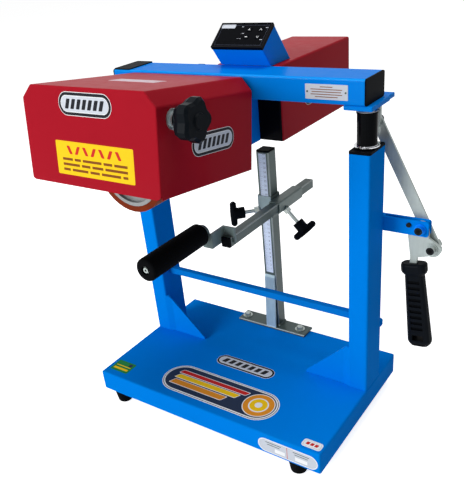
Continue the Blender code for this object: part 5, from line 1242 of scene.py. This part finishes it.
# The print on the face: its frame, the pale tag, the window, and the short lines by the keys
FRAME_WIDE = 0.0985
FRAME_TALL = 0.0450
FRAME_LINE = 0.00016
TAG = (0.030, 0.0085, 0.0015)
TAG_PLACE = (-0.0365, 0.0200)
WINDOW = (0.046, 0.020, 0.0015)
WINDOW_PLACE = (-0.0235, -0.0050)
KEY_LINES = (
    (0.0040, (-0.0050, 0.0190)),
    (0.0070, (0.0000, 0.0040)),
    (0.0090, (-0.0030, -0.0080)),
    (0.0050, (0.0465, 0.0170)),
    (0.0050, (0.0450, -0.0100)),
)
CARET_LEAN = 0.68


def on_panel(share_x, share_y, rise):
    """A spot on the controller's face: shares of its width and height, and a height over its lower edge."""
    tilted = Matrix.Translation(place(*PANEL_FOOT)) @ Matrix.Rotation(PANEL_TILT, 4, "X")
    return tilted @ Matrix.Translation(((share_x - 0.5) * PANEL_WIDTH, share_y * PANEL_HEIGHT, rise))


class PRESS_OT_panel_print(Operator):
    """Print the controller's face and its keys"""

    bl_idname = "press.panel_print"
    bl_label = "Panel Print"

    def execute(self, context):
        shape = bmesh.new()
        for side in (-0.5, 0.5):
            add_layer(shape, FRAME_WIDE, FRAME_LINE, 0, film(1), 1, (0, side * FRAME_TALL))
            add_layer(shape, FRAME_LINE, FRAME_TALL, 0, film(1), 1, (side * FRAME_WIDE, 0))
        add_layer(shape, *TAG, film(1), 0, TAG_PLACE, steps=3)
        add_layer(shape, *WINDOW, film(1), 2, WINDOW_PLACE, steps=3)
        for long, middle in KEY_LINES:
            add_layer(shape, long, 0.0010, 0, film(1), 0, middle)
        finishes = ["sign_silver", "sign_graphite", "controller_face"]
        add_piece("panel_print", shape, on_panel(0.5, 0.5, PANEL_FACE), finishes, "head")
        for name in KEYS:
            self.key_mark(name)
        return {"FINISHED"}

    def key_mark(self, name):
        """A caret on the up and down keys, two strokes on the set key and a bar on the run key."""
        shape = bmesh.new()
        if name in ("key_up", "key_down"):
            lean = CARET_LEAN if name == "key_up" else -CARET_LEAN
            for side in (-1, 1):
                add_layer(shape, 0.0008, 0.0036, 0, film(1), 0, (side * 0.0012, 0), -lean * side)
        elif name == "key_set":
            add_layer(shape, 0.0044, 0.0009, 0, film(1), 0, (0, -0.0012))
            add_layer(shape, 0.0009, 0.0032, 0, film(1), 0, (-0.0008, 0.0006), lean=0.4)
        else:
            add_layer(shape, 0.0050, 0.0015, 0.0006, film(1), steps=3)
        add_piece(name + "_mark", shape, on_panel(*KEYS[name], KEY_TOP), ["sign_white"], name)


# The ruler's numbers: one each centimetre, their height, and their middle as a share of the strip's width
CENTIMETRE = 0.01
NUMBER_HEIGHT = 0.0062
NUMBER_SHARE = 0.72


class PRESS_OT_ruler_numbers(Operator):
    """Set the numbers beside the ruler's strokes"""

    bl_idname = "press.ruler_numbers"
    bl_label = "Ruler Numbers"

    def execute(self, context):
        low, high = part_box("ruler_strip")
        middle = low.x + (high.x - low.x) * NUMBER_SHARE
        shape = bmesh.new()
        for number in range(1, int((high.z - low.z) / CENTIMETRE) + 1):
            mesh = self.number_mesh(number)
            spot = Vector((middle, low.y - film(0.5), low.z + number * CENTIMETRE))
            mesh.transform(surface(spot, *FRONT))
            shape.from_mesh(mesh)
            bpy.data.meshes.remove(mesh)
        bmesh.ops.remove_doubles(shape, verts=shape.verts, dist=0.000001)
        add_piece("ruler_numbers", shape, Matrix.Identity(4), ["sign_graphite"], "root")
        return {"FINISHED"}

    def number_mesh(self, number):
        """The mesh of one number, one film thick."""
        text = bpy.data.curves.new(f"ruler_{number}", "FONT")
        text.body = str(number)
        text.size = NUMBER_HEIGHT
        text.resolution_u = 2
        text.align_x = "CENTER"
        text.align_y = "CENTER"
        text.extrude = film(0.5)
        thing = bpy.data.objects.new(text.name, text)
        bpy.context.scene.collection.objects.link(thing)
        bpy.context.view_layer.update()
        mesh = bpy.data.meshes.new_from_object(thing)
        bpy.data.objects.remove(thing)
        bpy.data.curves.remove(text)
        return mesh


# How bright the plain sky and the floor's glow are
SKY_LIGHT = 0.165
FLOOR_GLOW = 0.83

# Each lamp's name, place from the tray's middle, size in metres and power in watts, and what they aim at
LAMPS = (("front_lamp", (-2.1, -4.4, 1.9), 2.6, 186), ("top_lamp", (0.2, 0.1, 3.4), 2.4, 52))
LAMP_TARGET = (0, 0, 0.3)

CAMERA_PLACE = (0.684796, -0.932732, 0.845630)
CAMERA_AZIMUTH = math.radians(37.57)
CAMERA_ELEVATION = math.radians(29.40)
CAMERA_ROLL = math.radians(6.28)
CAMERA_SHIFT = (0.0129, 0.0763)


def camera_turn():
    """The camera's axes from its azimuth, elevation and roll."""
    reach = math.cos(CAMERA_ELEVATION)
    across, ahead = -math.sin(CAMERA_AZIMUTH) * reach, math.cos(CAMERA_AZIMUTH) * reach
    forward = Vector((across, ahead, -math.sin(CAMERA_ELEVATION)))
    level = forward.cross(Vector((0, 0, 1))).normalized()
    down = forward.cross(level)
    right = math.cos(CAMERA_ROLL) * level + math.sin(CAMERA_ROLL) * down
    low = -math.sin(CAMERA_ROLL) * level + math.cos(CAMERA_ROLL) * down
    return Matrix((right, -low, -forward)).transposed().to_4x4()


class PRESS_OT_stage(Operator):
    """Set the floor, the background, the lamps and the camera"""

    bl_idname = "press.stage"
    bl_label = "Stage"

    def execute(self, context):
        colours, sizes = settings()
        scene = context.scene
        scene.view_settings.view_transform = "Standard"
        self.floor(colours)
        self.background()
        self.lamps()
        self.camera(scene, sizes.focal)
        return {"FINISHED"}

    def camera(self, scene, focal):
        """The photograph's camera, as it was fitted to the press."""
        data = bpy.data.cameras.new("press_camera")
        data.lens = focal
        data.shift_x, data.shift_y = CAMERA_SHIFT
        data.clip_end = 50
        camera = bpy.data.objects.new("press_camera", data)
        camera.matrix_world = Matrix.Translation(place(*CAMERA_PLACE)) @ camera_turn()
        scene.collection.objects.link(camera)
        scene.camera = camera

    def floor(self, colours):
        """A pale floor that keeps the press's shadow and is white to the camera elsewhere."""
        shape = bmesh.new()
        bmesh.ops.create_grid(shape, x_segments=1, y_segments=1, size=30)
        mesh = bpy.data.meshes.new("stage_floor")
        shape.to_mesh(mesh)
        shape.free()
        finish = Finish("stage_floor", colours.floor, 0.9, specular=0.0)
        finish.give("Base Color", finish.tint(finish.noise(3, 2), 0.01))
        finish.give("Emission Color", finish.mix(finish.seen(), (0, 0, 0), [FLOOR_GLOW] * 3))
        finish.give("Emission Strength", 1.0)
        mesh.materials.append(finish.material)
        floor = bpy.data.objects.new("stage_floor", mesh)
        bpy.context.scene.collection.objects.link(floor)

    def background(self):
        """White to the camera and in reflections, and a plain grey light on the press."""
        world = bpy.data.worlds.new("press_world")
        world.use_nodes = True
        bpy.context.scene.world = world
        sky = Sheet(world.node_tree)
        strength = sky.seen() * (1 - SKY_LIGHT) + SKY_LIGHT
        light = sky.node("ShaderNodeBackground", values={"Color": (1, 1, 1, 1), "Strength": strength})
        sky.node("ShaderNodeOutputWorld", values={"Surface": light}, output=None)

    def lamps(self):
        """A large soft lamp in front on the left, and a weaker one above."""
        target = place(*LAMP_TARGET)
        for name, spot, size, power in LAMPS:
            data = bpy.data.lights.new(name, "AREA")
            data.shape = "DISK"
            data.size = size
            data.energy = power
            lamp = bpy.data.objects.new(name, data)
            lamp.location = place(*spot)
            lamp.rotation_euler = (target - lamp.location).to_track_quat("-Z", "Y").to_euler()
            bpy.context.scene.collection.objects.link(lamp)


OPERATORS = (
    PRESS_OT_make_finishes,
    PRESS_OT_dress_nodes,
    PRESS_OT_base_signs,
    PRESS_OT_cover_signs,
    PRESS_OT_beam_trim,
    PRESS_OT_fasteners,
    PRESS_OT_welds,
    PRESS_OT_panel_print,
    PRESS_OT_ruler_numbers,
    PRESS_OT_stage,
)


class PRESS_PT_sidebar(Panel):
    """Lists the steps, colours and sizes of the press"""

    bl_idname = "PRESS_PT_sidebar"
    bl_label = "Heat Press"
    bl_space_type = "VIEW_3D"
    bl_region_type = "UI"
    bl_category = "Heat Press"

    def draw(self, context):
        layout = self.layout
        for operator in OPERATORS:
            layout.operator(operator.bl_idname)
        for group in (context.scene.press_colours, context.scene.press_sizes):
            box = layout.box()
            for name in group.__annotations__:
                box.prop(group, name)


CLASSES = (PressColours, PressSizes, *OPERATORS, PRESS_PT_sidebar)


def register():
    for item in CLASSES:
        bpy.utils.register_class(item)
    bpy.types.Scene.press_colours = PointerProperty(type=PressColours)
    bpy.types.Scene.press_sizes = PointerProperty(type=PressSizes)


def unregister():
    del bpy.types.Scene.press_sizes
    del bpy.types.Scene.press_colours
    for item in reversed(CLASSES):
        bpy.utils.unregister_class(item)


def main():
    register()
    bpy.ops.press.make_finishes()
    bpy.ops.press.dress_nodes()
    bpy.ops.press.base_signs()
    bpy.ops.press.cover_signs()
    bpy.ops.press.beam_trim()
    bpy.ops.press.fasteners()
    bpy.ops.press.welds()
    bpy.ops.press.panel_print()
    bpy.ops.press.ruler_numbers()
    bpy.ops.press.stage()


if __name__ == "__main__":
    main()
